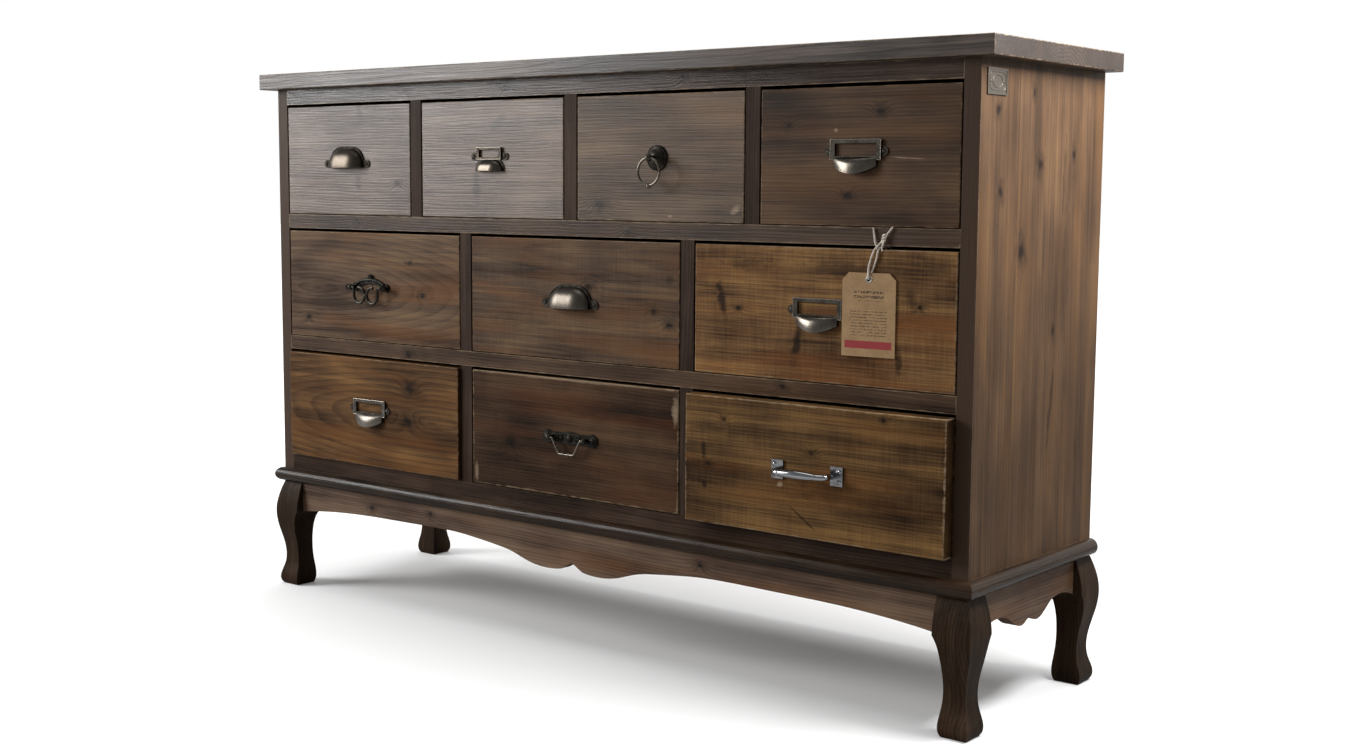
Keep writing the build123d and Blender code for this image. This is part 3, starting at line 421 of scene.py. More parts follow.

# %% [markdown]
# ### Case and base
# The frame of the face, the base and the legs are stained darker than the fronts, all but the apron: its paler tones
# are partly painted light, put in for the light that falls on it. The sides are glued up from upright strips and are
# lighter; their front edges belong to the dark frame.

# %% Case and base
frame_tones = ("#24180f", "#443327", "#624c3a")
head_tones = ("#1f150e", "#392b23", "#544338")
low_tones = ("#160f0a", "#2a1e15", "#403024")
leg_tones = ("#1b120c", "#31251b", "#4a392c")
# Painted light in part: the apron's paler tones stand in for light that falls on it
apron_stain_and_light = ("#3a2b21", "#665143", "#876f59")
side_tones = ("#3b2b1d", "#513c2b", "#684f37")
top_tones = ("#271e18", "#443831", "#64564c")
frame_blush, low_blush, side_blush = ("#55391f", 0.35), ("#3b2618", 0.3), ("#72502f", 0.35)
side_look = dict(
    tones=side_tones, strip=62, rings=(6, 0.1), sheen=0.12, wear=(1.0, 0.3), dark_edge=frame_tones[1],
    knots=((247, -29, 4), (226, -111, 5), (169, -10, 6), (139, -101, 5), (73, -50, 8), (182, 73, 4), (-19, 33, 4)),
    marks=((-105, 32, 60, 5, 8, 0.6), (150, 50, 70, 3, 3, 0.45), (40, 60, 90, 12, 0, 0.3)), blush=side_blush,
)
head_look = dict(tones=head_tones, blush=low_blush)
rail_look = dict(tones=frame_tones, blush=frame_blush)
moulding_look = dict(tones=low_tones, blush=low_blush, wear=(1, 0.2), gloss=0.23, sheen=0.14)
apron_look = dict(tones=apron_stain_and_light, wear=(1.2, 0.3), sheen=0.12)
leg_look = dict(
    tones=leg_tones, blush=low_blush, wear=(1, 0.0), rings=(4, 0.2), pith=(40, -40), gloss=0.42, sheen=0.04,
)
case_boards = {
    "top_board": ("XYZ", dict(
        tones=top_tones, strip=86, rings=(4.5, 0.45), gloss=0.35, sheen=0.42, pith=(20, -70), blush=frame_blush)),
    "head_rail": ("XZY", dict(head_look, knots=((-112, 0, 7), (180, 2, 4)), gloss=0.22, sheen=0.25)),
    "upper_rail": ("XZY", dict(rail_look, knots=((-407, 2, 5), (95, -3, 4)), gloss=0.36, sheen=0.2)),
    "lower_rail": ("XZY", dict(rail_look, knots=((-303, -3, 5), (330, 3, 4)), gloss=0.4, sheen=0.08)),
    "bottom_rail": ("XZY", dict(head_look, wear=(1, 0.1), sheen=0.05)),
    "divider_posts": ("ZXY", dict(head_look, wear=(1, 0.0), sheen=0.06)),
    "side_panel_left": ("ZYX", side_look),
    "side_panel_right": ("ZYX", side_look),
    "base_moulding_front": ("XZY", moulding_look),
    "base_moulding_left": ("YZX", moulding_look),
    "base_moulding_right": ("YZX", moulding_look),
    "base_frame_back": ("XZY", dict(tones=low_tones, blush=low_blush, wear=(1, 0.2), sheen=0.08)),
    "apron_front": ("XZY", dict(apron_look, knots=((-385, 9, 5), (-263, 15, 4), (210, 12, 4)))),
    "apron_left": ("YZX", apron_look),
    "apron_right": ("YZX", apron_look),
    "apron_back": ("XZY", apron_look),
}
for depth in ("front", "back"):
    for width in ("left", "right"):
        case_boards[f"leg_{depth}_{width}"] = ("ZXY", leg_look)
for number, (node, (axes, look)) in enumerate(case_boards.items()):
    dress(node, stained_wood(f"stained_{node}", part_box(node), axes, seed=number + 20, **look))
print("case boards dressed:", len(case_boards))

# %% [markdown]
# ### Bare wood inside
# Drawer boxes, runners and guides are never stained: bare pine, pale and dull. The back and the base are thin boards
# of a browner ply.

# %% Bare wood
pine = ("#a37c4e", "#c7a274", "#dfc39b")
ply = ("#6f5234", "#927049", "#b08d62")
bare_look = dict(wear=(1, 0.0), gloss=0.6)
for number, place in enumerate(fronts):
    node = f"drawer_box_{place}"
    dress(node, stained_wood(f"bare_pine_{place}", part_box(node), "YZX", pine, blush=("#c08f55", 0.3),
                             seed=number + 50, **bare_look))
hidden_boards = (
    ("drawer_runners", pine, "YZX"), ("drawer_guides", pine, "YZX"), ("back_panel", ply, "XZY"),
    ("base_board", ply, "XYZ"),
)
for node, tones, axes in hidden_boards:
    dress(node, stained_wood(f"bare_{node}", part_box(node), axes, tones, blush=("#a87a48", 0.3), seed=70, **bare_look))
print("bare boards:", len(fronts) + len(hidden_boards))

# %% [markdown]
# ### Old metal
# Most pulls are cast or pressed metal with a dark antique bath that hands have rubbed bright where it stands out. So
# the colour follows the distance from the drawer's face: dark in the corners, rubbed on the domes.

# %% Old metal
patina_width = 9


def old_metal(name, dark, rubbed, face, reach, gloss=0.3, relief=0.15, grain=3.0):
    """Patinated metal, rubbed bright from the drawer's face (a place along Y, in metres) out to its reach in mm.

    Grain is the width in mm of the pits of the casting.
    """
    finish, tree, shader = new_finish(name)
    place = put(tree, "ShaderNodeTexCoord", out=3)
    depth = put(tree, "ShaderNodeSeparateXYZ", {0: place}, out=1)
    rub = put(tree, "ShaderNodeMapRange", {0: depth, 1: face - mm, 2: face - reach * mm, 3: 0.0, 4: 1.0})
    cloud = put(tree, "ShaderNodeTexNoise", {"Vector": place, "Scale": 1000 / patina_width, "Detail": 3})
    speck = put(tree, "ShaderNodeTexNoise", {"Vector": place, "Scale": 1000 / grain, "Detail": 4})
    rub = put(tree, "ShaderNodeMath", {0: cloud, 1: 1.1, 2: rub}, operation="MULTIPLY_ADD")
    rub = put(tree, "ShaderNodeMapRange", {0: rub, 1: 0.45, 2: 1.25, 3: 0.0, 4: 1.0})
    paint = put(tree, "ShaderNodeMix", {0: rub, 6: colour(dark), 7: colour(rubbed)}, out=2, data_type="RGBA")
    tree.links.new(paint, shader.inputs["Base Color"])
    rough = put(tree, "ShaderNodeMapRange", {0: rub, 1: 0.0, 2: 1.0, 3: gloss + 0.18, 4: gloss})
    rough = put(tree, "ShaderNodeMath", {0: speck, 1: 0.16, 2: rough}, operation="MULTIPLY_ADD")
    rough = put(tree, "ShaderNodeMath", {0: rough, 1: 0.08}, operation="SUBTRACT")
    tree.links.new(rough, shader.inputs["Roughness"])
    bump = put(tree, "ShaderNodeBump", {"Strength": relief, "Distance": 0.3 * mm, "Height": speck})
    tree.links.new(bump, shader.inputs["Normal"])
    shader.inputs["Metallic"].default_value = 1.0
    return finish


# Bronze keeps warm brown domes and pewter grey ones, both over nearly black hollows. Cast iron stays dark and pitted.
# The ring, the wire and the steel frame are bright from use. Nickel is polished, so it mirrors the white room.
case_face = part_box("head_rail")[0].y
antique = ("#191613", "#544d45")
pewter = ("#1e1c19", "#655f57")
iron = ("#121110", "#36332e")
metals = {
    "cup_pull_top_1": old_metal("antique_bronze_cup", "#191613", "#4b443c", case_face, 15, gloss=0.32),
    "cup_pull_middle_2": old_metal("antique_pewter_cup", "#1d1b18", "#57514a", case_face, 15, gloss=0.31),
    "card_pull_top_2": old_metal("antique_bronze_card_frame", *antique, case_face, 10, gloss=0.25),
    "card_pull_top_4": old_metal("antique_pewter_card_frame", *pewter, case_face, 10, gloss=0.25),
    "card_pull_middle_3": old_metal("antique_pewter_card_frame_2", *pewter, case_face, 10, gloss=0.25),
    "card_pull_bottom_1": old_metal(
        "rubbed_steel_card_frame", "#24211e", "#6a645d", case_face - 5 * mm, 11, gloss=0.32),
    "ring_rosette_top_3": old_metal("antique_iron_rosette", "#161412", "#423d36", case_face, 18),
    "pull_ring_top_3": old_metal("rubbed_ring", "#1f1c19", "#655e55", case_face - 10 * mm, 9, gloss=0.22),
    "drop_plate_middle_1": old_metal("dark_cast_iron_drop", *iron, case_face, 13, gloss=0.34, relief=0.5),
    "drop_bail_middle_1": old_metal("dark_cast_iron_loops", *iron, case_face - 6 * mm, 8, gloss=0.3),
    "bail_plate_bottom_2": old_metal(
        "dark_cast_iron_plate", "#141311", "#3b3832", case_face, 12, gloss=0.38, relief=0.8),
    "bail_bottom_2": old_metal("rubbed_wire_bail", "#2c2925", "#6f695f", case_face - 5 * mm, 6, gloss=0.3),
    "bar_pull_bottom_3": old_metal(
        "polished_nickel_bar", "#56575a", "#9b9c9e", case_face - 17 * mm, 6, gloss=0.07, relief=0.03),
}
for node, finish in metals.items():
    dress(node, finish)
print("metal pulls dressed:", len(metals))

# %% [markdown]
# The small plate on the side faces +X, so its finish is a plain dull pewter with fine wear: an even grey.

# %% Side plate
plate_finish = old_metal("dull_pewter_plate", "#38332e", "#696259", 0.0, 60, gloss=0.42, relief=0.5, grain=1.5)
dress("blank_side_plate", plate_finish)
print("side plate dressed in", plate_finish.name)

# %% [markdown]
# ### Kraft card
# Kraft card is unbleached paper: warm brown, matt, with short darker and paler fibres. The tag has one plain red band
# near its foot and rows too fine to read. The rows are broken lines. Band and rows are drawn by tests on the place.

# %% Kraft card
kraft, tree, shader = new_finish("kraft_card")
place = put(tree, "ShaderNodeTexCoord", out=3)
fibre_size, cloud_size, break_size = 1.2, 14, 1.8
fibres = put(tree, "ShaderNodeTexNoise", {"Vector": place, "Scale": 1000 / fibre_size, "Detail": 4})
clouds = put(tree, "ShaderNodeTexNoise", {"Vector": place, "Scale": 1000 / cloud_size, "Detail": 2})
tone = put(tree, "ShaderNodeMath", {0: clouds, 1: 0.5, 2: fibres}, operation="MULTIPLY_ADD")
card = put(tree, "ShaderNodeMapRange", {0: tone, 1: 0.5, 2: 1.0, 3: 0.0, 4: 1.0})
card = put(tree, "ShaderNodeMix", {0: card, 6: colour("#94744f"), 7: colour("#b8966c")}, out=2, data_type="RGBA")
side, _, height = put(tree, "ShaderNodeSeparateXYZ", {0: place}).node.outputs
band_margin, band_foot, band_head = 4 * mm, 9 * mm, 17.5 * mm
band = []
for value, low, high in (
    (side, tag_low.x + band_margin, tag_high.x - band_margin), (height, tag_low.z + band_foot, tag_low.z + band_head),
):
    band.append(put(tree, "ShaderNodeMath", {0: value, 1: low}, operation="GREATER_THAN"))
    band.append(put(tree, "ShaderNodeMath", {0: value, 1: high}, operation="LESS_THAN"))
mask = band[0]
for edge in band[1:]:
    mask = put(tree, "ShaderNodeMath", {0: mask, 1: edge}, operation="MULTIPLY")
card = put(tree, "ShaderNodeMix", {0: mask, 6: card, 7: colour("#9c3436")}, out=2, data_type="RGBA")
# Rows of broken lines: from and to above the foot, half width, pitch and height in mm, and how dark they are
rows = ((62, 73, 19, 5.4, 3.2, 0.9), (23, 53, 23, 3.3, 1.3, 0.8))
above = put(tree, "ShaderNodeMath", {0: height, 1: 1000, 2: -1000 * tag_low.z}, operation="MULTIPLY_ADD")
aside = put(tree, "ShaderNodeMath", {0: side, 1: tag_middle}, operation="SUBTRACT")
aside = put(tree, "ShaderNodeMath", {0: aside}, operation="ABSOLUTE")
breaks = put(tree, "ShaderNodeTexNoise", {"Vector": place, "Scale": 1000 / break_size, "Detail": 1})
for start, stop, half_width, pitch, tall, ink in rows:
    row = put(tree, "ShaderNodeMath", {0: above, 1: pitch}, operation="MODULO")
    mask = put(tree, "ShaderNodeMath", {0: row, 1: tall}, operation="LESS_THAN")
    for value, limit, test in ((above, start, "GREATER_THAN"), (above, stop, "LESS_THAN"),
                               (aside, half_width * mm, "LESS_THAN"), (breaks, 0.47, "GREATER_THAN")):
        within = put(tree, "ShaderNodeMath", {0: value, 1: limit}, operation=test)
        mask = put(tree, "ShaderNodeMath", {0: mask, 1: within}, operation="MULTIPLY")
    mask = put(tree, "ShaderNodeMath", {0: mask, 1: ink}, operation="MULTIPLY")
    card = put(tree, "ShaderNodeMix", {0: mask, 6: card, 7: colour("#4a3524")}, out=2, data_type="RGBA")
tree.links.new(card, shader.inputs["Base Color"])
shader.inputs["Roughness"].default_value = 0.8
bump = put(tree, "ShaderNodeBump", {"Strength": 0.2, "Distance": 0.2 * mm, "Height": fibres})
tree.links.new(bump, shader.inputs["Normal"])
dress("swing_tag", kraft)
print("tag is", round((tag_high.x - tag_low.x) / mm), "by", round((tag_high.z - tag_low.z) / mm), "mm")

# %% [markdown]
# ### Jute
# Jute twine is pale, dull and twisted from loose strands, so stripes of light and shade run round it at a slant. They
# follow the curve's own UV map, which runs along the cord, and are drawn coarse enough to show.

# %% Jute
jute, tree, shader = new_finish("twisted_jute")
wrap = put(tree, "ShaderNodeTexCoord", out=2)
wrap = put(tree, "ShaderNodeMapping", {"Vector": wrap, "Scale": (70, 1, 1)})
twist = put(tree, "ShaderNodeTexWave", {"Vector": wrap, "Scale": 0.9, "Distortion": 1.0, "Detail": 2.0},
            bands_direction="DIAGONAL")
strand = put(tree, "ShaderNodeMix", {0: twist, 6: colour("#cdc0b0"), 7: colour("#f6ede1")}, out=2, data_type="RGBA")
tree.links.new(strand, shader.inputs["Base Color"])
shader.inputs["Roughness"].default_value = 0.9
bump = put(tree, "ShaderNodeBump", {"Strength": 0.5, "Distance": 0.3 * mm, "Height": twist})
tree.links.new(bump, shader.inputs["Normal"])
for piece in twine_pieces:
    piece.data.materials.append(jute)
print("jute on", len(twine_pieces), "pieces")

# %% [markdown]
# ## Ornaments
# Old pulls have beads, ridges and scrolls that CAD leaves out. Beads are turned: a disc is extruded ring after ring
# and each ring is scaled, as a lathe would cut it. Ridges and scrolls are bevelled curves turned to meshes, because a
# half-round line of even width is just that. Each piece takes the finish of the plate under it.

# %% Beads and ridges


def settle(piece, node, body):
    """Smooth a metal piece, give it the finish of the pull it sits on, and let it move with that pull's body."""
    bpy.ops.object.shade_smooth_by_angle(angle=math.radians(50))
    piece.data.materials.append(metals[node])
    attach(piece, body)


def turned(name, profile, place, direction):
    """A closed bead from a profile of radius and height in mm, standing at a place along a direction."""
    bpy.ops.object.select_all(action="DESELECT")
    bpy.ops.mesh.primitive_circle_add(vertices=20, radius=profile[0][0] * mm, fill_type="NGON")
    piece = bpy.context.object
    piece.name = piece.data.name = name
    bpy.ops.object.mode_set(mode="EDIT")
    bpy.ops.mesh.select_all(action="SELECT")
    for (radius, height), (next_radius, next_height) in zip(profile, profile[1:]):
        bpy.ops.mesh.extrude_region_move(TRANSFORM_OT_translate={"value": (0, 0, (next_height - height) * mm)})
        bpy.ops.transform.resize(value=(next_radius / radius, next_radius / radius, 1))
    bpy.ops.mesh.select_all(action="SELECT")
    bpy.ops.mesh.normals_make_consistent(inside=False)
    bpy.ops.object.mode_set(mode="OBJECT")
    turn = Vector(direction).to_track_quat("Z", "Y").to_matrix().to_4x4()
    piece.data.transform(Matrix.Translation(place) @ turn)
    return piece


def ridge(name, points, radius, closed=False):
    """A round ridge of a radius in mm along points in metres, as a mesh."""
    bpy.ops.object.select_all(action="DESELECT")
    bpy.ops.curve.primitive_nurbs_path_add()
    piece = bpy.context.object
    piece.name = piece.data.name = name
    line = piece.data.splines[0]
    line.points.add(len(points) - len(line.points))
    for point, place in zip(line.points, points):
        point.co = (*place, 1)
    line.use_cyclic_u = closed
    line.use_endpoint_u = not closed
    line.order_u = 3
    piece.data.resolution_u = 6
    piece.data.bevel_depth = radius * mm
    piece.data.bevel_resolution = 3
    piece.data.use_fill_caps = not closed
    bpy.ops.object.convert(target="MESH")
    return bpy.context.object


def joined(name, pieces):
    """Several pieces as one."""
    bpy.ops.object.select_all(action="DESELECT")
    for piece in pieces:
        piece.select_set(True)
    bpy.context.view_layer.objects.active = pieces[0]
    if len(pieces) > 1:
        bpy.ops.object.join()
    pieces[0].name = pieces[0].data.name = name
    return pieces[0]


def on_pull(node_front):
    """A function from mm right, out and up of a drawer front's middle to a place in metres."""
    low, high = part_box(node_front)
    middle = (low + high) / 2

    def at(right, out, up):
        return Vector((middle.x + right * mm, low.y - out * mm, middle.z + up * mm))

    return at


def full_turn(count):
    """Angles of a count of points spread evenly round a circle."""
    return [math.pi * i / (count / 2) for i in range(count)]


print("a full turn in steps of", round(math.degrees(full_turn(24)[1])), "degrees")

# %% [markdown]
# The crescent pull has a ridge along its arch, a shell of five petals on its crown and a turned finial outside each
# ball post.

# %% Crescent pull
at = on_pull("drawer_front_middle_1")
half_turn = [math.pi * i / 16 for i in range(17)]
pieces = []
# Two arches: half width, height of the foot, rise, how far out they lie, and radius of the ridge
for name, half_width, foot, rise, out, radius in (
    ("arch", 30, 0, 10.6, 2.6, 2.0), ("inner_arch", 22, 1.5, 5.6, 2.5, 1.0),
):
    line = [at(half_width * math.cos(turn), out, foot + rise * math.sin(turn)) for turn in half_turn]
    pieces.append(ridge(name, line, radius))
petal = ((0.5, 0), (1.2, 0.7), (1.7, 1.9), (1.8, 3.4), (1.4, 5.0), (0.6, 6.2), (0.2, 6.5))
crown = at(0, 2.6, 11.4)
for lean in (-64, -32, 0, 32, 64):
    fan = math.radians(lean)
    pieces.append(turned("petal", petal, crown, (math.sin(fan), 0, math.cos(fan))))
finial = ((2.0, 0), (3.6, 0.7), (4.0, 1.8), (3.0, 2.8), (1.8, 3.4), (2.4, 4.2), (2.1, 5.0), (0.9, 5.6))
finial_reach, post_out = 35.4, 11
for side in (-1, 1):
    pieces.append(turned("finial", finial, at(side * finial_reach, post_out, 0), (side, 0, 0)))
crescent = joined("crescent_relief", pieces)
settle(crescent, "drop_plate_middle_1", "drawer_middle_1")
print("crescent relief:", len(crescent.data.polygons), "faces")

# %% [markdown]
# The long plate carries a leaf scroll each side of an oval boss, and a stepped rosette on each lobe.

# %% Long plate
at = on_pull("drawer_front_bottom_2")
boss = ((5.4, 0), (5.2, 0.8), (4.2, 1.1), (3.8, 1.9), (2.6, 2.6), (0.8, 2.9))
rosette = ((5.2, 0), (5.0, 0.8), (3.8, 1.0), (3.4, 1.8), (1.8, 2.5), (0.5, 2.8))
outwards = (0, -1, 0)
lobe_reach, plate_out, scroll_out = 39, 2.0, 2.5
pieces = [turned("boss", boss, at(0, plate_out, 0), outwards)]
for side in (-1, 1):
    pieces.append(turned("lobe_rosette", rosette, at(side * lobe_reach, plate_out, 0), outwards))
    for flip in (-1, 1):
        # A spiral that winds in to its eye, 15 mm beside the boss
        scroll = []
        for step in range(15):
            turn, reach = 0.5 * step, 5.0 - 0.28 * step
            right, up = 15 + 0.9 * reach * math.cos(turn), 1.2 + 0.8 * reach * math.sin(turn)
            scroll.append(at(side * right, scroll_out, flip * up))
        pieces.append(ridge("scroll", scroll, 0.8))
rim = [at(35 * math.cos(turn), 2.3, 5.9 * math.sin(turn)) for turn in full_turn(28)]
pieces.append(ridge("rim", rim, 0.7, closed=True))
long_plate = joined("long_plate_relief", pieces)
settle(long_plate, "bail_plate_bottom_2", "drawer_bottom_2")
print("long plate relief:", len(long_plate.data.polygons), "faces")

# %% [markdown]
# Cups and the rosette have a rolled rim. A thin ridge along the outline catches the light there.

# %% Rims of cups and rosette
rim_out = 1.6
for place in ("top_1", "middle_2"):
    at = on_pull(f"drawer_front_{place}")
    # Up the right wing, over the dome and down the left wing
    rim = [at(36.4, rim_out, -9.9), at(36.2, rim_out, -6.0)]
    for step in range(13):
        turn = math.pi * step / 12
        side = 1 if step < 6 else -1 if step > 6 else 0
        rim.append(at(10 * side + 26.2 * math.cos(turn), rim_out, -6.5 + 25.2 * math.sin(turn)))
    rim += [at(-36.2, rim_out, -6.0), at(-36.4, rim_out, -9.9)]
    piece = joined(f"cup_rim_{place}", [ridge("rim", rim, 0.9)])
    settle(piece, f"cup_pull_{place}", f"drawer_{place}")
at = on_pull("drawer_front_top_3")
pieces = []
for radius, out in ((14.6, 1.7), (10.6, 3.3)):
    circle = [at(radius * math.cos(turn), out, radius * math.sin(turn)) for turn in full_turn(24)]
    pieces.append(ridge("rim", circle, 0.8, closed=True))
piece = joined("rosette_rims", pieces)
settle(piece, "ring_rosette_top_3", "drawer_top_3")
print("rims of two cups and a rosette")

# %% [markdown]
# The card frames are rubbed bright along their outer arris, so each gets a thin rim of its own finish. The ring
# carries a turned bead at its lowest point, where its two ends meet.

# %% Rims of card frames and the ring's bead
rub_reach, frame_up, frame_out = 3.6, 7.5, 3.0
card_frames = (("top_2", 22.1, 7.6), ("top_4", 32.6, 11.1), ("middle_3", 32.6, 11.1), ("bottom_1", 32.6, 11.1))
for place, half_width, half_height in card_frames:
    at = on_pull(f"drawer_front_{place}")
    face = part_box(f"drawer_front_{place}")[0].y
    # Five points round each corner keep it nearly square
    corners = []
    for across, along in ((1, 1), (-1, 1), (-1, -1), (1, -1)):
        points = [(half_width, half_height - 3), (half_width, half_height - 1), (half_width, half_height),
                  (half_width - 1, half_height), (half_width - 3, half_height)]
        if across * along < 0:
            points.reverse()
        corners += [at(across * x, frame_out, frame_up + along * z) for x, z in points]
    metals[f"card_rim_{place}"] = old_metal(f"rubbed_rim_{place}", "#38332d", "#7c746a", face, rub_reach, gloss=0.28)
    piece = joined(f"card_rim_{place}", [ridge("rim", corners, 0.7, closed=True)])
    settle(piece, f"card_rim_{place}", f"drawer_{place}")
ring_low, ring_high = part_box("pull_ring_top_3")
bead = ((1.4, 0), (2.4, 0.8), (3.0, 2.0), (3.1, 3.0), (3.0, 4.0), (2.4, 5.2), (1.4, 6.0))
half_bead, wire_radius = 3 * mm, 1.8 * mm
bead_place = ((ring_low.x + ring_high.x) / 2 - half_bead, (ring_low.y + ring_high.y) / 2, ring_low.z + wire_radius)
piece = joined("ring_bead", [turned("bead", bead, bead_place, (1, 0, 0))])
settle(piece, "pull_ring_top_3", "ring")
print("card frames with a rim:", len(card_frames), "and a bead of", len(piece.data.polygons), "faces")

# %% [markdown]
# The tag's hole has a dull steel eyelet: a ring flattened on the card and turned with it. One edge of the tag stands
# further out from the drawer than the other.

# %% Eyelet
tag_width, edge_out = 67, 3.6
tag_turn = math.atan2(edge_out, tag_width)
eyelet_place = from_tag(0, 3.8, -33)
bpy.ops.object.select_all(action="DESELECT")
bpy.ops.mesh.primitive_torus_add(major_segments=32, minor_segments=10, major_radius=3.3 * mm, minor_radius=0.9 * mm)
eyelet = bpy.context.object
eyelet.name = eyelet.data.name = "tag_eyelet"
bpy.ops.object.mode_set(mode="EDIT")
bpy.ops.mesh.select_all(action="SELECT")
bpy.ops.transform.resize(value=(1, 1, 0.55))
bpy.ops.object.mode_set(mode="OBJECT")
eyelet_turn = Vector((math.sin(tag_turn), -math.cos(tag_turn), 0)).to_track_quat("Z", "Y").to_matrix().to_4x4()
eyelet.data.transform(Matrix.Translation(eyelet_place) @ eyelet_turn)
metals["tag_eyelet"] = old_metal("dull_steel_eyelet", "#6d6a66", "#a5a19b", front_low.y, 5, gloss=0.3)
settle(eyelet, "tag_eyelet", "drawer_middle_3")
print("eyelet:", len(eyelet.data.polygons), "faces")

# %% [markdown]
# The plate on the side has a raised border, a plain oval and two pins: ridges half sunk in its face, and low beads.

# %% Side plate relief
plate_low, plate_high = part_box("blank_side_plate")
plate_middle = (plate_low + plate_high) / 2
sunk = 0.5 * mm
plate_middle.x = plate_high.x - sunk
metals["blank_side_plate"] = plate_finish


def on_plate(right, up):
    """A place on the sunk face of the side plate, mm right and up of its middle."""
    return plate_middle + Vector((0, right * mm, up * mm))


line_radius, pin_reach = 0.45, 14.2
oval = [on_plate(11 * math.cos(turn), 6.5 * math.sin(turn)) for turn in full_turn(24)]
corners = ((-17, 9.5), (0, 9.5), (17, 9.5), (17, 0), (17, -9.5), (0, -9.5), (-17, -9.5), (-17, 0))
pieces = [ridge("oval", oval, line_radius, closed=True)]
pieces.append(ridge("border", [on_plate(*corner) for corner in corners], line_radius, closed=True))
pin = ((1.3, 0), (1.2, 0.3), (0.8, 0.5), (0.3, 0.6))
for side in (-1, 1):
    pieces.append(turned("pin", pin, on_plate(side * pin_reach, 0), (1, 0, 0)))
plate_relief = joined("side_plate_relief", pieces)
settle(plate_relief, "blank_side_plate", "carcass")
print("side plate relief:", len(plate_relief.data.polygons), "faces")

# %% [markdown]
# ## Floor, lamps and room
# A plain white studio floor. The camera sees it white, and so does metal in part, but it throws little light back on
# the chest. Further out it glows to the camera, so that it runs into the white room without an edge.

# %% Floor
bpy.ops.object.select_all(action="DESELECT")
bpy.ops.mesh.primitive_plane_add(size=40)
floor = bpy.context.object
floor.name = "studio_floor"
floor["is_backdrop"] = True
white, tree, shader = new_finish("white_floor")
lit_grey, seen_white = (0.22, 0.22, 0.22, 1), (0.95, 0.95, 0.95, 1)
rays = put(tree, "ShaderNodeLightPath").node.outputs
mirrored = put(tree, "ShaderNodeMath", {0: rays["Is Glossy Ray"], 1: 0.4}, operation="MULTIPLY")
seen = put(tree, "ShaderNodeMath", {0: rays["Is Camera Ray"], 1: rays["Is Transmission Ray"]}, operation="MAXIMUM")
seen = put(tree, "ShaderNodeMath", {0: seen, 1: mirrored}, operation="MAXIMUM")
pale = put(tree, "ShaderNodeMix", {0: seen, 6: lit_grey, 7: seen_white}, out=2, data_type="RGBA")
tree.links.new(pale, shader.inputs["Base Color"])
# The glow grows from 0.8 to 1.5 m away from the middle. It is also painted light: it washes out the faint shadow of
# the chest that the left light throws on the floor further out.
away = put(tree, "ShaderNodeVectorMath", {0: put(tree, "ShaderNodeTexCoord", out=3)}, out=1, operation="LENGTH")
far = put(tree, "ShaderNodeMapRange", {0: away, 1: 0.8, 2: 1.5, 3: 0.06, 4: 0.42})
glow = put(tree, "ShaderNodeMath", {0: rays["Is Camera Ray"], 1: far}, operation="MULTIPLY")
tree.links.new(glow, shader.inputs["Emission Strength"])
shader.inputs["Emission Color"].default_value = (1, 1, 1, 1)
shader.inputs["Roughness"].default_value = 0.9
shader.inputs["Specular IOR Level"].default_value = 0.0
floor.data.materials.append(white)
print("floor is", round(floor.dimensions.x), "m wide")

# %% [markdown]
# One large soft light stands to the left, where the front mirrors it towards the camera and turns the left end grey.
# A weaker one on the right lights the side. A broad soft sun from above puts the shadow under the chest.

# %% Lamps


def soft_light(name, place, target, size, power):
    """A square area light at a place, turned towards a target."""
    data = bpy.data.lights.new(name, "AREA")
    data.size = size
    data.energy = power
    lamp = bpy.data.objects.new(name, data)
    bpy.context.scene.collection.objects.link(lamp)
    aim = (Vector(target) - Vector(place)).to_track_quat("-Z", "Y")
    lamp.matrix_world = Matrix.Translation(place) @ aim.to_matrix().to_4x4()


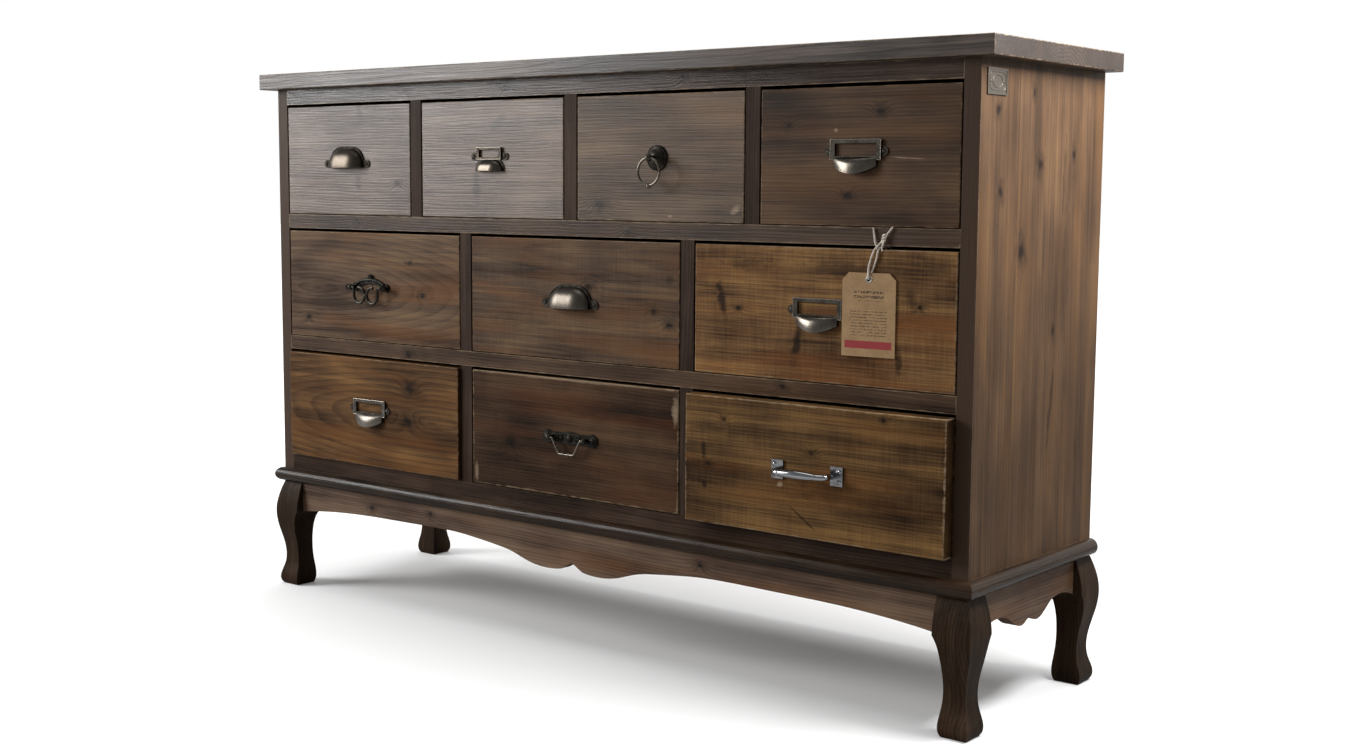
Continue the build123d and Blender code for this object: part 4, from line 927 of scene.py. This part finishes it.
soft_light("left_softbox", place=(-2.65, -2.0, 1.5), target=(-0.3, 0, 0.5), size=1.5, power=95)
soft_light("right_fill", place=(0.96, 0.05, 1.06), target=(0.577, 0.02, 0.95), size=0.4, power=15)
sun_data = bpy.data.lights.new("overhead_soft_sun", "SUN")
sun_data.energy = 1.8
sun_data.angle = math.radians(60)
sun = bpy.data.objects.new("overhead_soft_sun", sun_data)
bpy.context.scene.collection.objects.link(sun)
sun_direction = Vector((0.1, -0.16, -1))
sun.matrix_world = sun_direction.to_track_quat("-Z", "Y").to_matrix().to_4x4()
print("lamps:", len(bpy.data.lights))

# %% [markdown]
# The world is white to the camera. Metal mirrors it white behind the chest and dim in front, where the room is. As a
# light on the chest it is dim all round.

# %% Room
dim_room, white_room, soft_fill = 0.06, 1.0, 0.26
world = bpy.data.worlds.new("studio")
bpy.context.scene.world = world
world.use_nodes = True
tree = world.node_tree
tree.nodes.clear()
rays = put(tree, "ShaderNodeLightPath").node.outputs
seen = put(tree, "ShaderNodeMath", {0: rays["Is Camera Ray"], 1: rays["Is Transmission Ray"]}, operation="MAXIMUM")
direction = put(tree, "ShaderNodeTexCoord", out=0)
backwards = put(tree, "ShaderNodeSeparateXYZ", {0: direction}, out=1)
room = put(tree, "ShaderNodeMapRange", {0: backwards, 1: 0.0, 2: 0.5, 3: dim_room, 4: white_room})
mirrored = put(tree, "ShaderNodeMath", {0: rays["Is Glossy Ray"], 1: room}, operation="MULTIPLY")
shown = put(tree, "ShaderNodeMath", {0: seen, 1: mirrored}, operation="MAXIMUM")
strength = put(tree, "ShaderNodeMath", {0: shown, 1: soft_fill}, operation="MAXIMUM")
backdrop = put(tree, "ShaderNodeBackground", {"Color": (1, 1, 1, 1), "Strength": strength})
tree.links.new(backdrop, tree.nodes.new("ShaderNodeOutputWorld").inputs["Surface"])
bpy.context.scene.view_settings.view_transform = "Standard"
print("world:", world.name, "with", len(tree.nodes), "nodes")

# %% [markdown]
# ## Size
# The box of the dressed chest is set beside the box of the CAD model, to show that nothing stands out from it.

# %% Size and finish
low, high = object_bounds()
{"cad": [list(cad_low), list(cad_high)], "visual": [list(low), list(high)]}
print("visual box", [round(v, 4) for v in low], [round(v, 4) for v in high])
